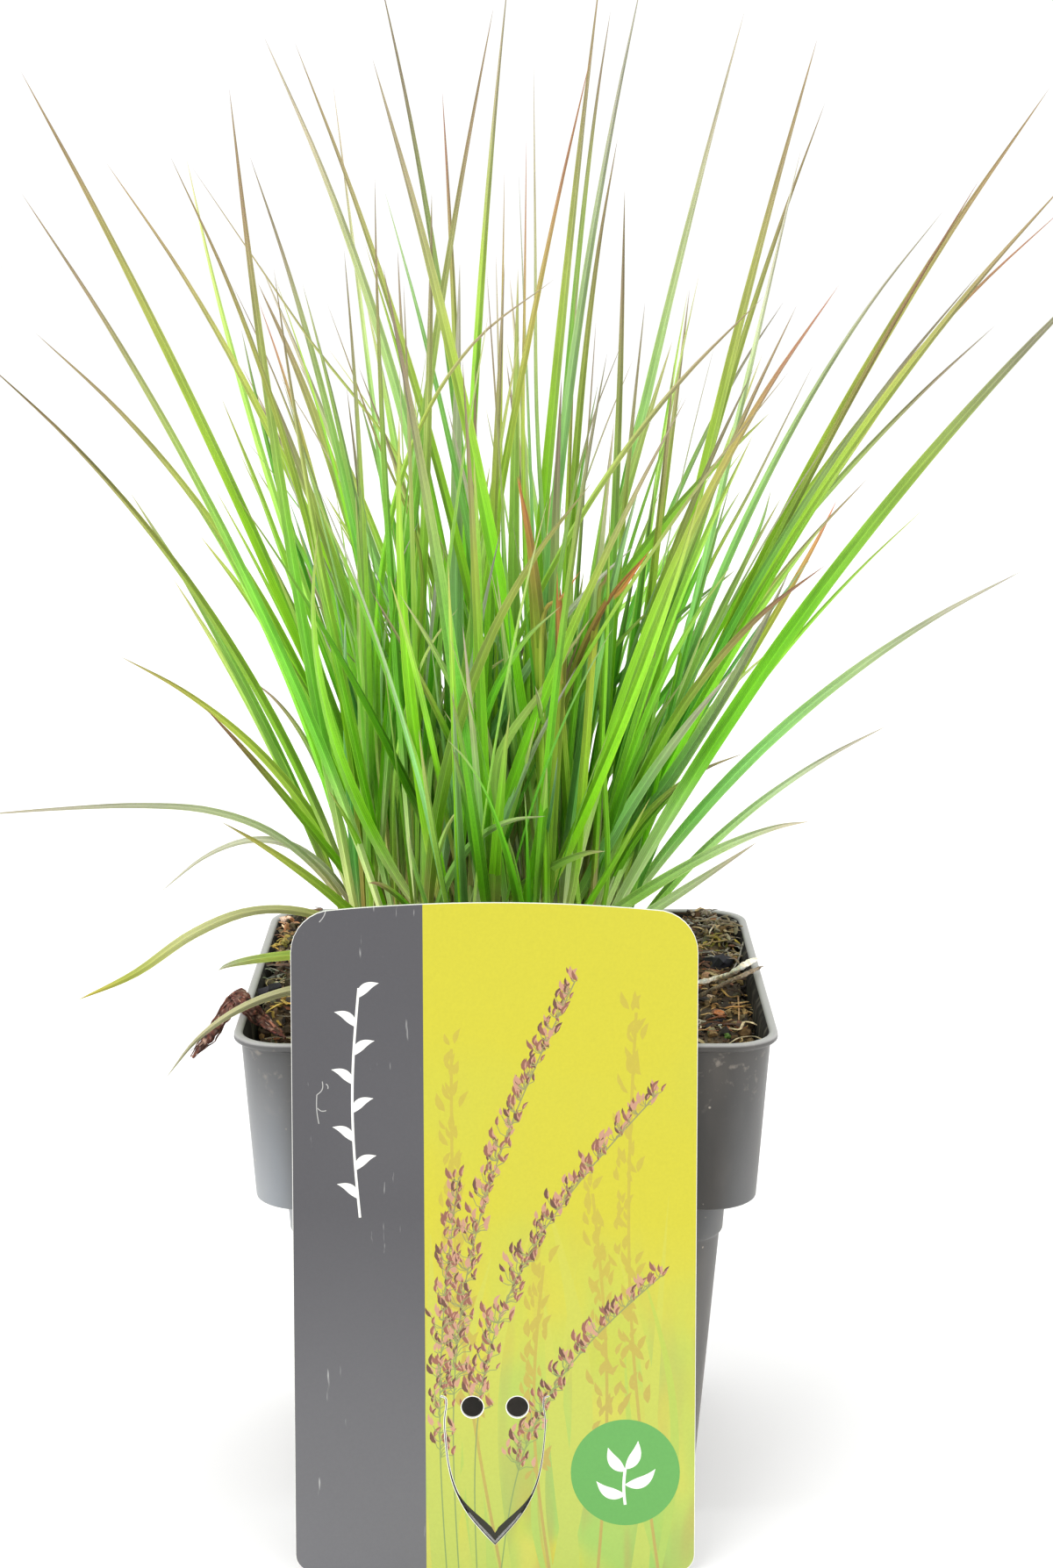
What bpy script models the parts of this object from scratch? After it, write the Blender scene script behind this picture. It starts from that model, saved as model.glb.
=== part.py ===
"""A tuft of moor grass in a square nursery pot, with a picture label leaning on the rim."""
from collections import namedtuple
from math import cos, pi, radians, sin, sqrt, tan
from random import Random

import bmesh
import bpy
from mathutils import Quaternion, Vector, noise
from mathutils.bvhtree import BVHTree

MM = 0.001
GAP = 0.3 * MM                      # clearance between pieces that touch
UP = Vector((0, 0, 1))

# The pot: a standard 9 cm square nursery pot, half widths across the flats
RIM_HALF = 45.0 * MM
POT_HEIGHT = 88.0 * MM
LIP_HEIGHT = 1.5 * MM
LIP_PROUD = 1.1 * MM
LIP_TOP = 1.2 * MM                  # width of the lip's upper side, before the wall slopes in
COLLAR_HEIGHT = 29.5 * MM           # rim top down to the step
COLLAR_FOOT_HALF = 42.0 * MM
BODY_TOP_HALF = 37.3 * MM
BODY_FOOT_HALF = 32.3 * MM
RIM_RADIUS = 8.5 * MM
BODY_RADIUS = 8.0 * MM
WALL = 1.0 * MM
FLOOR = 1.6 * MM
EDGE = 0.5 * MM                     # the small rounding along the pot's edges
LEDGE_DROP = 7.5 * MM               # a slight ledge round the body, this far under the collar
LEDGE = 0.5 * MM
CORNER_STEPS = 4
DRAIN_RADIUS = 3.5 * MM
DRAIN_REACH = (22.5 * MM, 28.8 * MM)    # holes along the sides, and in the corners
DRAIN_HOLES = 8

# The potting soil and the crown that sits in it
PLANT = Vector((-3.0, 0, 0)) * MM   # the plant stands a little left of the pot's middle
SOIL_LEVEL = 81.6 * MM
SOIL_RISE = 6.5 * MM                # how much higher the two back corners are heaped
SOIL_LUMP = 1.0 * MM
SOIL_GRAIN = 7.0 * MM               # size of its lumps
WALL_SLOPE = 0.05                   # how far the collar's wall opens on its way up
SEAT_RADIUS = 25.6 * MM
SEAT_LEVEL = 77.6 * MM
CROWN_RADIUS = 24.3 * MM
CROWN_TOP = 86.0 * MM
CROWN_DROP = 3.4 * MM               # how far the dome falls from its middle to its edge
CROWN_SIDES = 18

# The label: a printed plastic card that stands on the ground and leans on the lip
LABEL_WIDTH = 66.0 * MM
LABEL_LENGTH = 112.0 * MM
LABEL_THICK = 0.6 * MM
LABEL_MIDDLE = -1.8 * MM
LABEL_STANDOFF = 9.5 * MM           # foot of the card in front of the rim
LABEL_CORNER = 7.0 * MM
LABEL_FOOT_CORNER = 3.0 * MM
LABEL_ARCH = 1.2 * MM               # rise of the arched top edge
LABEL_HOLE = 1.8 * MM               # radius of the two punched holes
HOLE_SIDE = 3.7 * MM                # the holes lie this far beside the tongue's middle
HOLE_DROP = 1.5 * MM                # and this far under its two cut ends
SLIT = 0.4 * MM                     # width of the cut round the tongue
TONGUE_WIDTH = 18.0 * MM
TONGUE_LENGTH = 24.7 * MM
TONGUE_TOP = 29.6 * MM              # height of the tongue's two cut ends

# The shoots: a stem of leaf sheaths each, with four blades
TILLERS = 52
TUFT_RADIUS = 20.5 * MM
GOLDEN_ANGLE = pi * (3 - sqrt(5))
STEM_HALF = 1.15 * MM
STEM_MIDDLE = 20.0 * MM             # stem height in the middle of the tuft
STEM_OUTER = 6.5 * MM               # stem height at its edge
STEM_LEAN = radians(23)             # lean of the outermost stems
STEM_SWAY = 0.08                    # how much single stems stray from that
STEM_LENGTHS = (0.85, 1.2)
STEM_TAPER = 0.92
BLADE_STEPS = 6
BLADE_RIDGE = (0.25, 0.12 * MM)     # height of the ridge: a share of the width, and a little more
BLADE_SEAM = 0.12 * MM              # rim left round each blade where it grows from the stem
CLEAR = 0.16 * MM                   # each blade keeps half of its distance to the next
DEPTH_TRIES = (0, 3, -3, 6, -6, 9, -9, 13, -13, 17, -17, 22, -22)
SHOOT_TRIES = 14                    # a blade may grow from one of this many of the nearest shoots
HALF_WAY = 0.42                     # share of the blade's depth that it has reached half way
FOOT_DEPTH = (0.33, 22)             # share of the tip's depth at its foot, and the most in mm
SEEN_TURN = 0.6
SEEN_TWIST = 0.7

# The sight lines of the photograph, for places that are read off it by eye
FOCAL_PX = 3400.0
CENTRE_PX = (600.0, 893.5)
PITCH = radians(11.9)
EYE = Vector((3.4, -511.0, 229.6)) * MM
AHEAD = Vector((0, cos(PITCH), -sin(PITCH)))
RIGHT = Vector((1, 0, 0))
OVERHEAD = RIGHT.cross(AHEAD)

# Blades that can be told apart: the pixel of the tip, a pixel that the blade passes half way,
# the pixel column of its foot, the depth of the tip behind the pot's middle in mm, the width in mm
Blade = namedtuple("Blade", "tip through foot depth width hue")
SEEN = (
    Blade((188, 1230), (271, 1151), 400, -50, 1.5, "y"),
    Blade((-25, 405), (184, 622), 415, -10, 1.7, "o"),
    Blade((40, 379), (214, 559), 440, 22, 1.5, "o"),
    Blade((23, 218), (199, 501), 470, -24, 1.5, "b"),
    Blade((23, 80), (230, 482), 500, 8, 2.3, "g"),
    Blade((120, 184), (291, 459), 510, 42, 1.4, "o"),
    Blade((193, 176), (291, 402), 450, -36, 1.3, "o"),
    Blade((212, 178), (291, 494), 440, 60, 1.3, "g"),
    Blade((261, 99), (300, 413), 400, -18, 1.8, "b"),
    Blade((284, 176), (364, 432), 480, 30, 1.5, "g"),
    Blade((312, 306), (344, 517), 410, -50, 1.3, "o"),
    Blade((300, 40), (429, 367), 560, 46, 2.1, "p"),
    Blade((335, 46), (471, 432), 590, -24, 1.4, "o"),
    Blade((379, 92), (406, 306), 470, 78, 1.0, "p"),
    Blade((424, 65), (517, 413), 610, -45, 2.4, "g"),
    Blade((430, -40), (482, 214), 540, 34, 1.3, "b"),
    Blade((504, 103), (517, 344), 535, 80, 1.2, "r"),
    Blade((563, 5), (497, 383), 450, -36, 1.7, "b"),
    Blade((580, -35), (547, 344), 515, 56, 1.6, "g"),
    Blade((427, 199), (432, 400), 445, -66, 1.1, "b"),
    Blade((453, 283), (465, 478), 470, 84, 1.1, "b"),
    Blade((392, 283), (406, 459), 425, -38, 1.3, "o"),
    Blade((291, 532), (350, 640), 460, 62, 1.3, "d"),
    Blade((295, 344), (344, 497), 450, 80, 1.1, "r"),
    Blade((632, 318), (486, 471), 385, -62, 1.2, "g"),
    Blade((675, 57), (615, 325), 500, -36, 1.4, "r"),
    Blade((686, -45), (646, 306), 575, 12, 2.0, "o"),
    Blade((696, 11), (675, 153), 640, 72, 1.0, "b"),
    Blade((733, -30), (672, 287), 600, -12, 1.7, "g"),
    Blade((704, 157), (680, 298), 640, 46, 1.3, "o"),
    Blade((712, 214), (705, 478), 655, -50, 1.4, "g"),
    Blade((709, 390), (657, 547), 585, -68, 1.1, "b"),
    Blade((849, 11), (757, 367), 605, 62, 2.1, "d"),
    Blade((932, 42), (849, 344), 690, 5, 2.3, "o"),
    Blade((941, 115), (875, 298), 670, 44, 1.4, "o"),
    Blade((914, 165), (856, 413), 700, -32, 1.2, "d"),
    Blade((893, 344), (803, 497), 650, 78, 1.1, "b"),
    Blade((956, 325), (830, 520), 630, -52, 2.0, "r"),
    Blade((1076, 239), (940, 425), 700, 40, 1.5, "p"),
    Blade((1197, 99), (1009, 383), 705, -5, 2.2, "o"),
    Blade((1117, 203), (1032, 345), 700, -40, 1.2, "r"),
    Blade((1222, 200), (1040, 413), 690, 24, 2.0, "o"),
    Blade((1215, 235), (1074, 370), 715, 44, 1.1, "r"),
    Blade((1117, 310), (1013, 436), 680, -28, 1.2, "b"),
    Blade((1134, 371), (998, 501), 650, 60, 1.3, "d"),
    Blade((1285, 280), (983, 611), 700, -30, 2.8, "g"),
    Blade((990, 544), (898, 645), 690, 28, 1.2, "o"),
    Blade((954, 569), (895, 680), 670, 55, 1.2, "r"),
    Blade((942, 643), (845, 722), 655, -42, 1.7, "r"),
    Blade((1168, 649), (925, 802), 690, -16, 2.0, "g"),
    Blade((849, 858), (780, 890), 700, -38, 1.1, "o"),
    Blade((1013, 826), (868, 913), 660, -32, 1.5, "p"),
    Blade((923, 936), (830, 963), 670, -42, 1.8, "p"),
    Blade((864, 959), (800, 1001), 690, -26, 1.8, "p"),
    Blade((-40, 930), (290, 926), 420, -6, 1.1, "b"),
    Blade((180, 1019), (306, 957), 430, -24, 1.3, "p"),
    Blade((251, 936), (333, 986), 425, -36, 1.6, "g"),
    Blade((147, 559), (249, 726), 400, 4, 2.0, "g"),
    Blade((88, 1140), (300, 1031), 440, -34, 1.8, "p"),
    Blade((248, 1106), (300, 1092), 430, -38, 1.5, "g"),
    Blade((135, 747), (260, 825), 435, -18, 1.6, "o"),
    Blade((233, 806), (306, 886), 410, -32, 1.2, "r"),
    Blade((283, 772), (344, 837), 430, 30, 1.0, "b"),
    Blade((237, 576), (318, 735), 425, -5, 1.2, "r"),
    Blade((676, 548), (536, 783), 400, -62, 1.9, "g"),
    Blade((640, 690), (566, 783), 480, -52, 1.4, "g"),
    Blade((839, 760), (753, 867), 640, -46, 2.0, "p"),
    Blade((900, 650), (772, 875), 680, -8, 2.4, "g"),
    Blade((800, 560), (715, 810), 590, -54, 2.1, "g"),
    Blade((622, 930), (540, 960), 470, -42, 1.5, "p"),
    Blade((690, 970), (630, 988), 550, -42, 1.4, "g"),
    Blade((420, 1006), (455, 1023), 500, -41, 1.0, "r"),
    Blade((492, 218), (490, 383), 480, -40, 1.7, "o"),
    Blade((487, 478), (468, 640), 430, -30, 2.2, "g"),
    Blade((575, 300), (562, 600), 552, -27, 1.6, "g"),
    Blade((524, 300), (520, 620), 530, -12, 2.5, "g"),
    Blade((455, 470), (465, 768), 485, -50, 2.0, "g"),
    Blade((362, 605), (370, 800), 390, -40, 2.0, "g"),
    Blade((635, 650), (637, 760), 640, -40, 1.4, "r"),
    Blade((740, 628), (684, 699), 590, -34, 1.5, "r"),
    Blade((696, 632), (682, 680), 640, 6, 1.1, "r"),
    Blade((589, 542), (610, 660), 650, -60, 2.1, "g"),
    Blade((845, 557), (800, 640), 640, 72, 1.2, "d"),
    Blade((879, 557), (840, 660), 660, 62, 1.2, "d"),
    Blade((745, 471), (700, 600), 620, 56, 1.0, "p"),
    Blade((768, 413), (757, 536), 690, -24, 1.4, "g"),
    Blade((786, 329), (770, 459), 680, 30, 1.5, "g"),
    Blade((405, 560), (420, 760), 440, -24, 2.2, "g"),
    Blade((640, 430), (632, 640), 625, -22, 2.2, "g"),
    Blade((540, 520), (545, 720), 570, -38, 2.0, "g"),
    Blade((700, 480), (680, 660), 640, 0, 2.2, "g"),
)

# The blades between them, whose tips end somewhere in the dense middle of the tuft
FILLER_TRIES = 500
FILLER_MIDDLE = 580
FILLER_SIDE = 340
FILLER_DOWN = (300, 900)
FILLER_FOOT = 1000                  # the tuft's sides meet near this row, and open by the spread
FILLER_SPREAD = 0.62
FILLER_WAIST = 50
FILLER_DEPTH = (-78, 90)
FILLER_RISE = 18 * MM               # the least that it rises over the stem
FILLER_REACH = 42 * MM              # and the least that it is long
FILLER_LIFT = (0.05, 0.16)          # how much it arches, as a share of its length
FILLER_WIDTH = (1.2, 2.5)
FILLER_TWIST = 1.2
OUTER_SHOOTS = 0.4                  # beyond this share of the tuft, none crosses the middle
FILLER_HUE = "g"

COLOURS = {
    "g": (0.10, 0.36, 0.03), "o": (0.28, 0.30, 0.06), "p": (0.30, 0.45, 0.18),
    "b": (0.24, 0.17, 0.08), "r": (0.30, 0.13, 0.09), "d": (0.03, 0.13, 0.02),
    "y": (0.50, 0.38, 0.14),
}


def clear_scene():
    for old in list(bpy.data.objects):
        bpy.data.objects.remove(old, do_unlink=True)


def material(name, colour, roughness):
    made = bpy.data.materials.new(name)
    made.use_nodes = True
    surface = made.node_tree.nodes["Principled BSDF"]
    surface.inputs["Base Color"].default_value = (*colour, 1)
    surface.inputs["Roughness"].default_value = roughness
    surface.inputs["Metallic"].default_value = 0.0
    made.diffuse_color = (*colour, 1)
    return made


def add_object(name, mesh_edit, finish):
    """Turn a bmesh into a named object, with every face pointing out."""
    bmesh.ops.recalc_face_normals(mesh_edit, faces=mesh_edit.faces)
    mesh = bpy.data.meshes.new(name)
    mesh_edit.to_mesh(mesh)
    mesh_edit.free()
    mesh.materials.append(finish)
    made = bpy.data.objects.new(name, mesh)
    bpy.context.scene.collection.objects.link(made)
    return made


def rounded_square(half, radius, height, steps=CORNER_STEPS, flat_steps=1):
    """The points of a square with round corners, anticlockwise from the right side."""
    points = []
    for corner in range(4):
        middle = Vector((half - radius, half - radius, 0))
        quarter = [middle + Vector((cos(angle), sin(angle), 0)) * radius
                   for angle in (pi / 2 * step / steps for step in range(steps + 1))]
        flat = 2 * (half - radius) / flat_steps
        quarter += [quarter[-1] - RIGHT * flat * step for step in range(1, flat_steps)]
        for point in quarter:
            point.rotate(Quaternion(UP, corner * pi / 2))
            points.append(point + UP * height)
    return points


def loft(rings):
    """Skin a stack of rings of equal length and close both of its ends."""
    mesh_edit = bmesh.new()
    loops = [[mesh_edit.verts.new(point) for point in ring] for ring in rings]
    for low, high in zip(loops, loops[1:]):
        for i in range(len(low)):
            j = (i + 1) % len(low)
            mesh_edit.faces.new((low[i], low[j], high[j], high[i]))
    mesh_edit.faces.new(loops[0])
    mesh_edit.faces.new(loops[-1])
    return mesh_edit


def cut(target, cutter):
    """Take the cutter's shape out of the target, and leave the cutter as a hidden guide."""
    cutter.hide_render = True
    cutter.display_type = "WIRE"
    tool = target.modifiers.new("Cut " + cutter.name, "BOOLEAN")
    tool.operation = "DIFFERENCE"
    tool.solver = "EXACT"
    tool.object = cutter


def build_pot(finish):
    collar_foot = POT_HEIGHT - COLLAR_HEIGHT
    collar_top_half = RIM_HALF - LIP_PROUD
    lip_foot = POT_HEIGHT - LIP_HEIGHT
    outside = (
        (BODY_FOOT_HALF - EDGE, BODY_RADIUS - EDGE, 0),
        (BODY_FOOT_HALF, BODY_RADIUS, EDGE),
        (BODY_TOP_HALF - 2 * LEDGE, BODY_RADIUS, collar_foot - LEDGE_DROP - LEDGE),
        (BODY_TOP_HALF - LEDGE, BODY_RADIUS, collar_foot - LEDGE_DROP),
        (BODY_TOP_HALF, BODY_RADIUS, collar_foot),
        (COLLAR_FOOT_HALF - 2 * EDGE, RIM_RADIUS, collar_foot),
        (COLLAR_FOOT_HALF, RIM_RADIUS, collar_foot + 2 * EDGE),
        (collar_top_half, RIM_RADIUS, lip_foot),
        (RIM_HALF, RIM_RADIUS, lip_foot + EDGE),
        (RIM_HALF, RIM_RADIUS, POT_HEIGHT - EDGE),
        (RIM_HALF - EDGE, RIM_RADIUS, POT_HEIGHT),
    )
    inside = (
        (RIM_HALF - LIP_TOP, RIM_RADIUS - LIP_TOP / 2, POT_HEIGHT),
        (collar_top_half - WALL, RIM_RADIUS - WALL, lip_foot),
        (COLLAR_FOOT_HALF - WALL, RIM_RADIUS - WALL, collar_foot + 2 * EDGE + WALL),
        (BODY_TOP_HALF - 2 * LEDGE - WALL, BODY_RADIUS - WALL, collar_foot + WALL),
        (BODY_FOOT_HALF - WALL, BODY_RADIUS - WALL, FLOOR),
    )
    rings = [rounded_square(half, radius, height) for half, radius, height in outside + inside]
    pot = add_object("pot", loft(rings), finish)
    cutter = bmesh.new()
    for place in range(DRAIN_HOLES):
        reach = DRAIN_REACH[place % 2]
        angle = place * 2 * pi / DRAIN_HOLES
        hole = bmesh.ops.create_cone(
            cutter, cap_ends=True, segments=8, radius1=DRAIN_RADIUS, radius2=DRAIN_RADIUS,
            depth=4 * FLOOR)
        bmesh.ops.translate(
            cutter, verts=hole["verts"], vec=(reach * cos(angle), reach * sin(angle), 0))
    cut(pot, add_object("drain_cutter", cutter, finish))
    return pot


def soil_height(x, y):
    """Height of the soil away from the crown: lumpy, and heaped in the two back corners."""
    heap = max(0.0, min(1.0, y / RIM_HALF)) * max(0.0, min(1.0, abs(x) / RIM_HALF))
    lump = noise.noise(Vector((x, y, 0)) / SOIL_GRAIN) * SOIL_LUMP
    return SOIL_LEVEL + SOIL_RISE * heap + lump


def build_soil(finish):
    collar_foot = POT_HEIGHT - COLLAR_HEIGHT
    wall = WALL + GAP
    top_half = COLLAR_FOOT_HALF - wall + (SOIL_LEVEL - collar_foot) * WALL_SLOPE
    outline = (
        (BODY_FOOT_HALF - wall, BODY_RADIUS - wall, FLOOR + GAP),
        (BODY_TOP_HALF - 2 * LEDGE - wall - EDGE, BODY_RADIUS - wall, collar_foot + WALL),
        (COLLAR_FOOT_HALF - wall - EDGE, RIM_RADIUS - wall, collar_foot + 2 * EDGE + 2 * WALL),
    )
    rings = [rounded_square(*place, steps=2, flat_steps=5) for place in outline]
    edge = rounded_square(top_half, RIM_RADIUS - wall, 0, steps=2, flat_steps=5)
    for share in (1.0, 0.66, 0.33, 0.0):
        ring = []
        for point in edge:
            seat = PLANT + point.normalized() * (SEAT_RADIUS + 1.5 * MM)
            spot = seat.lerp(point, share)
            ring.append(Vector((spot.x, spot.y, soil_height(spot.x, spot.y))))
        rings.append(ring)
    rings.append([PLANT + point.normalized() * SEAT_RADIUS + UP * SEAT_LEVEL for point in edge])
    return add_object("potting_soil", loft(rings), finish)


def dome(radius):
    """Height of the crown's upper side at a distance from the middle."""
    return CROWN_TOP - CROWN_DROP * (radius / CROWN_RADIUS) ** 2


def build_crown(finish):
    outline = ((0.90, SEAT_LEVEL + GAP), (1.0, SEAT_LEVEL + 2.4 * MM), (1.0, dome(CROWN_RADIUS)),
               (0.72, dome(0.72 * CROWN_RADIUS)), (0.36, dome(0.36 * CROWN_RADIUS)))
    rings = []
    for share, height in outline:
        ring = []
        for side in range(CROWN_SIDES):
            angle = 2 * pi * side / CROWN_SIDES
            lump = 1 - 0.05 * noise.noise(Vector((cos(angle), sin(angle), share)) * 2) ** 2
            reach = CROWN_RADIUS * share * lump
            ring.append(PLANT + Vector((reach * cos(angle), reach * sin(angle), height)))
        rings.append(ring)
    return add_object("crown", loft(rings), finish)


def label_outline():
    """Outline of the card, flat, with its foot at height 0: round corners, arched top edge."""
    half = LABEL_WIDTH / 2
    points = []
    for sign, start in ((-1, pi), (1, 1.5 * pi)):
        middle = Vector((sign * (half - LABEL_FOOT_CORNER), LABEL_FOOT_CORNER))
        for step in range(4):
            angle = start + pi / 2 * step / 3
            points.append(middle + Vector((cos(angle), sin(angle))) * LABEL_FOOT_CORNER)
    shoulder = LABEL_LENGTH - LABEL_ARCH - LABEL_CORNER
    for step in range(5):
        angle = pi / 2 * step / 4
        middle = Vector((half - LABEL_CORNER, shoulder))
        points.append(middle + Vector((cos(angle), sin(angle))) * LABEL_CORNER)
    span = half - LABEL_CORNER
    for step in range(1, 6):
        across = span * (1 - step / 3)
        points.append(Vector((across, LABEL_LENGTH - LABEL_ARCH * (across / span) ** 2)))
    for step in range(5):
        angle = pi / 2 + pi / 2 * step / 4
        middle = Vector((-half + LABEL_CORNER, shoulder))
        points.append(middle + Vector((cos(angle), sin(angle))) * LABEL_CORNER)
    return points


def tongue_path():
    """Middle line of the cut round the pointed tongue, from its left end to its right end."""
    half = TONGUE_WIDTH / 2
    left = [Vector((-half, 0)), Vector((-half + 0.9 * MM, -7.5 * MM)),
            Vector((-half + 2.3 * MM, -14 * MM)), Vector((-half + 4.7 * MM, -19.6 * MM))]
    right = [Vector((-point.x, point.y)) for point in reversed(left)]
    return left + [Vector((0, -TONGUE_LENGTH))] + right


def ribbon(path, width):
    """The closed outline of a band along a path."""
    sides = ([], [])
    for i, point in enumerate(path):
        before = path[max(i - 1, 0)]
        after = path[min(i + 1, len(path) - 1)]
        along = (after - before).normalized()
        across = Vector((-along.y, along.x)) * width / 2
        sides[0].append(point + across)
        sides[1].append(point - across)
    return sides[0] + sides[1][::-1]


def plate(mesh_edit, outline, low, high):
    """Add a flat outline (across, up) as a plate between two depths."""
    ends = []
    for depth in (low, high):
        ends.append([mesh_edit.verts.new((point.x, depth, point.y)) for point in outline])
    for i in range(len(outline)):
        j = (i + 1) % len(outline)
        mesh_edit.faces.new((ends[0][i], ends[0][j], ends[1][j], ends[1][i]))
    mesh_edit.faces.new(ends[0])
    mesh_edit.faces.new(ends[1])


def label_lean():
    """Lean of the card, so that its back clears the lip by the gap."""
    return (LABEL_STANDOFF - GAP - LABEL_THICK) / POT_HEIGHT


def build_label(finish):
    card = bmesh.new()
    plate(card, label_outline(), 0, LABEL_THICK)
    cutter = bmesh.new()
    middle = Vector((0.0, TONGUE_TOP))
    slit = [middle + point for point in tongue_path()]
    plate(cutter, ribbon(slit, SLIT), -LABEL_THICK, 2 * LABEL_THICK)
    for sign in (-1, 1):
        centre = middle + Vector((sign * HOLE_SIDE, -HOLE_DROP))
        ring = [centre + Vector((cos(pi * i / 6), sin(pi * i / 6))) * LABEL_HOLE for i in range(12)]
        plate(cutter, ring, -LABEL_THICK, 2 * LABEL_THICK)
    label = add_object("plant_label", card, finish)
    tool = add_object("label_cutter", cutter, finish)
    for piece in (label, tool):
        piece.location = (LABEL_MIDDLE, -RIM_HALF - LABEL_STANDOFF, LABEL_THICK * label_lean())
        piece.rotation_euler = (-label_lean(), 0, 0)
    cut(label, tool)
    return label


def sight(pixel, depth):
    """The point that a pixel of the photograph shows at a depth along Y."""
    line = AHEAD + RIGHT * (pixel[0] - CENTRE_PX[0]) / FOCAL_PX
    line = line + OVERHEAD * (CENTRE_PX[1] - pixel[1]) / FOCAL_PX
    return EYE + line * (depth - EYE.y) / line.y


def tiller_base(index):
    """Foot and top of one shoot's stem, on a spiral over the crown."""
    rng = Random(500 + index)
    radius = TUFT_RADIUS * sqrt((index + 0.5) / TILLERS)
    angle = index * GOLDEN_ANGLE
    outward = Vector((cos(angle), sin(angle), 0))
    height = dome(max(radius - 1.5 * STEM_HALF, 0)) + GAP
    foot = PLANT + outward * radius + UP * height
    lean = outward * tan(STEM_LEAN) * radius / TUFT_RADIUS
    sway = Vector((rng.uniform(-STEM_SWAY, STEM_SWAY), rng.uniform(-STEM_SWAY, STEM_SWAY), 0))
    direction = (UP + lean + sway).normalized()
    length = STEM_MIDDLE + (STEM_OUTER - STEM_MIDDLE) * radius / TUFT_RADIUS
    return foot, foot + direction * length * rng.uniform(*STEM_LENGTHS)


def spine(start, through, tip):
    """The start, pull and end of a parabola that passes a point half way to the tip."""
    first = (through - start).length
    share = first / (first + (tip - through).length)
    rest = 1 - share
    pull = (through - start * rest ** 2 - tip * share ** 2) / (2 * rest * share)
    return start, pull, tip


def on_curve(points, share):
    start, pull, tip = points
    rest = 1 - share
    return start * rest ** 2 + pull * 2 * rest * share + tip * share ** 2


def along_curve(points, share):
    start, pull, tip = points
    return ((pull - start) * (1 - share) + (tip - pull) * share).normalized()


def blade_width(share):
    return min(0.72 + 0.9 * share, 1.0) * (1 - share ** 2.6) ** 0.9


def blade_rings(points, width, face, twist):
    """Three-cornered rings along a blade, a left edge, a ridge and a right edge, then the tip."""
    rings = []
    for step in range(1, BLADE_STEPS):
        share = step / BLADE_STEPS
        along = along_curve(points, share)
        turned = face.copy()
        turned.rotate(Quaternion(along, twist * (share - 0.5)))
        side = along.cross(turned).normalized()
        crest = side.cross(along)
        wide = width * blade_width(share)
        middle = on_curve(points, share)
        high = BLADE_RIDGE[0] * wide + BLADE_RIDGE[1]
        rings.append((middle - side * wide / 2, middle + crest * high, middle + side * wide / 2))
    return rings


def swollen(ring, by):
    middle = sum(ring, Vector()) / len(ring)
    return [point + (point - middle).normalized() * by for point in ring]


def match(ring, root):
    """Turn a ring's order so that its corners face the corners that it grows from."""
    orders = [[ring[(i + turn) % 3] for i in range(3)] for turn in range(3)]
    return min(orders, key=lambda order: sum((a - b).length for a, b in zip(order, root)))


def skin(root, rings, tip, swell):
    """The corners and triangles of a blade, for testing what it touches."""
    stack = [swollen(root, swell)] + [swollen(ring, swell) for ring in rings]
    corners = [point for ring in stack for point in ring] + [tip]
    faces = []
    for level in range(len(stack) - 1):
        for i in range(3):
            a = 3 * level + i
            b = 3 * level + (i + 1) % 3
            faces += [(a, b, b + 3), (a, b + 3, a + 3)]
    last = 3 * len(stack) - 3
    faces += [(last + i, last + (i + 1) % 3, last + 3) for i in range(3)]
    return BVHTree.FromPolygons(corners, faces)


class Tiller:
    """One shoot: a square stem whose end is parted in four, a blade growing from each part."""

    def __init__(self, index):
        self.index = index
        self.hue = None
        self.foot, self.top = tiller_base(index)
        turns = [index + pi / 2 * side for side in range(4)]
        corners = [Vector((cos(turn), sin(turn), 0)) * sqrt(2) for turn in turns]
        low = [self.foot + corner * STEM_HALF for corner in corners]
        high = [self.top + corner * STEM_HALF * STEM_TAPER for corner in corners]
        self.mesh = loft((low, high))
        self.hull = BVHTree.FromPolygons(
            swollen(low, CLEAR) + swollen(high, CLEAR),
            [(i, (i + 1) % 4, (i + 1) % 4 + 4, i + 4) for i in range(4)])
        end = max(self.mesh.faces, key=lambda face: face.calc_center_median().z)
        self.free = bmesh.ops.poke(self.mesh, faces=[end])["faces"]
        bmesh.ops.inset_individual(self.mesh, faces=self.free, thickness=BLADE_SEAM)

    def part_towards(self, point):
        """The free part of the stem's end that lies on the side of a point."""
        heading = point - self.top
        return max(self.free, key=lambda face: (face.calc_center_median() - self.top).dot(heading))

    def grow(self, part, rings, tip):
        """Draw one part of the stem's end out through the rings to the tip, if it has room."""
        self.free.remove(part)
        root = list(part.verts)
        self.mesh.faces.remove(part)
        corners = root
        grown = []
        for ring in rings:
            new = [self.mesh.verts.new(point) for point in ring]
            for i in range(3):
                j = (i + 1) % 3
                self.mesh.faces.new((corners[i], corners[j], new[j]))
                self.mesh.faces.new((corners[i], new[j], new[i]))
            corners = new
            grown += new
        end = self.mesh.verts.new(tip)
        for i in range(3):
            self.mesh.faces.new((corners[i], corners[(i + 1) % 3], end))
        if not self.crosses_itself():
            return True
        bmesh.ops.delete(self.mesh, geom=grown + [end], context="VERTS")
        self.free.append(self.mesh.faces.new(root))
        return False

    def crosses_itself(self):
        self.mesh.faces.ensure_lookup_table()
        self.mesh.normal_update()
        tree = BVHTree.FromBMesh(self.mesh)
        faces = self.mesh.faces
        return any(not set(faces[i].verts) & set(faces[j].verts) for i, j in tree.overlap(tree))


def box_of(points):
    low = [min(point[i] for point in points) - CLEAR for i in range(3)]
    high = [max(point[i] for point in points) + CLEAR for i in range(3)]
    return low, high


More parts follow.
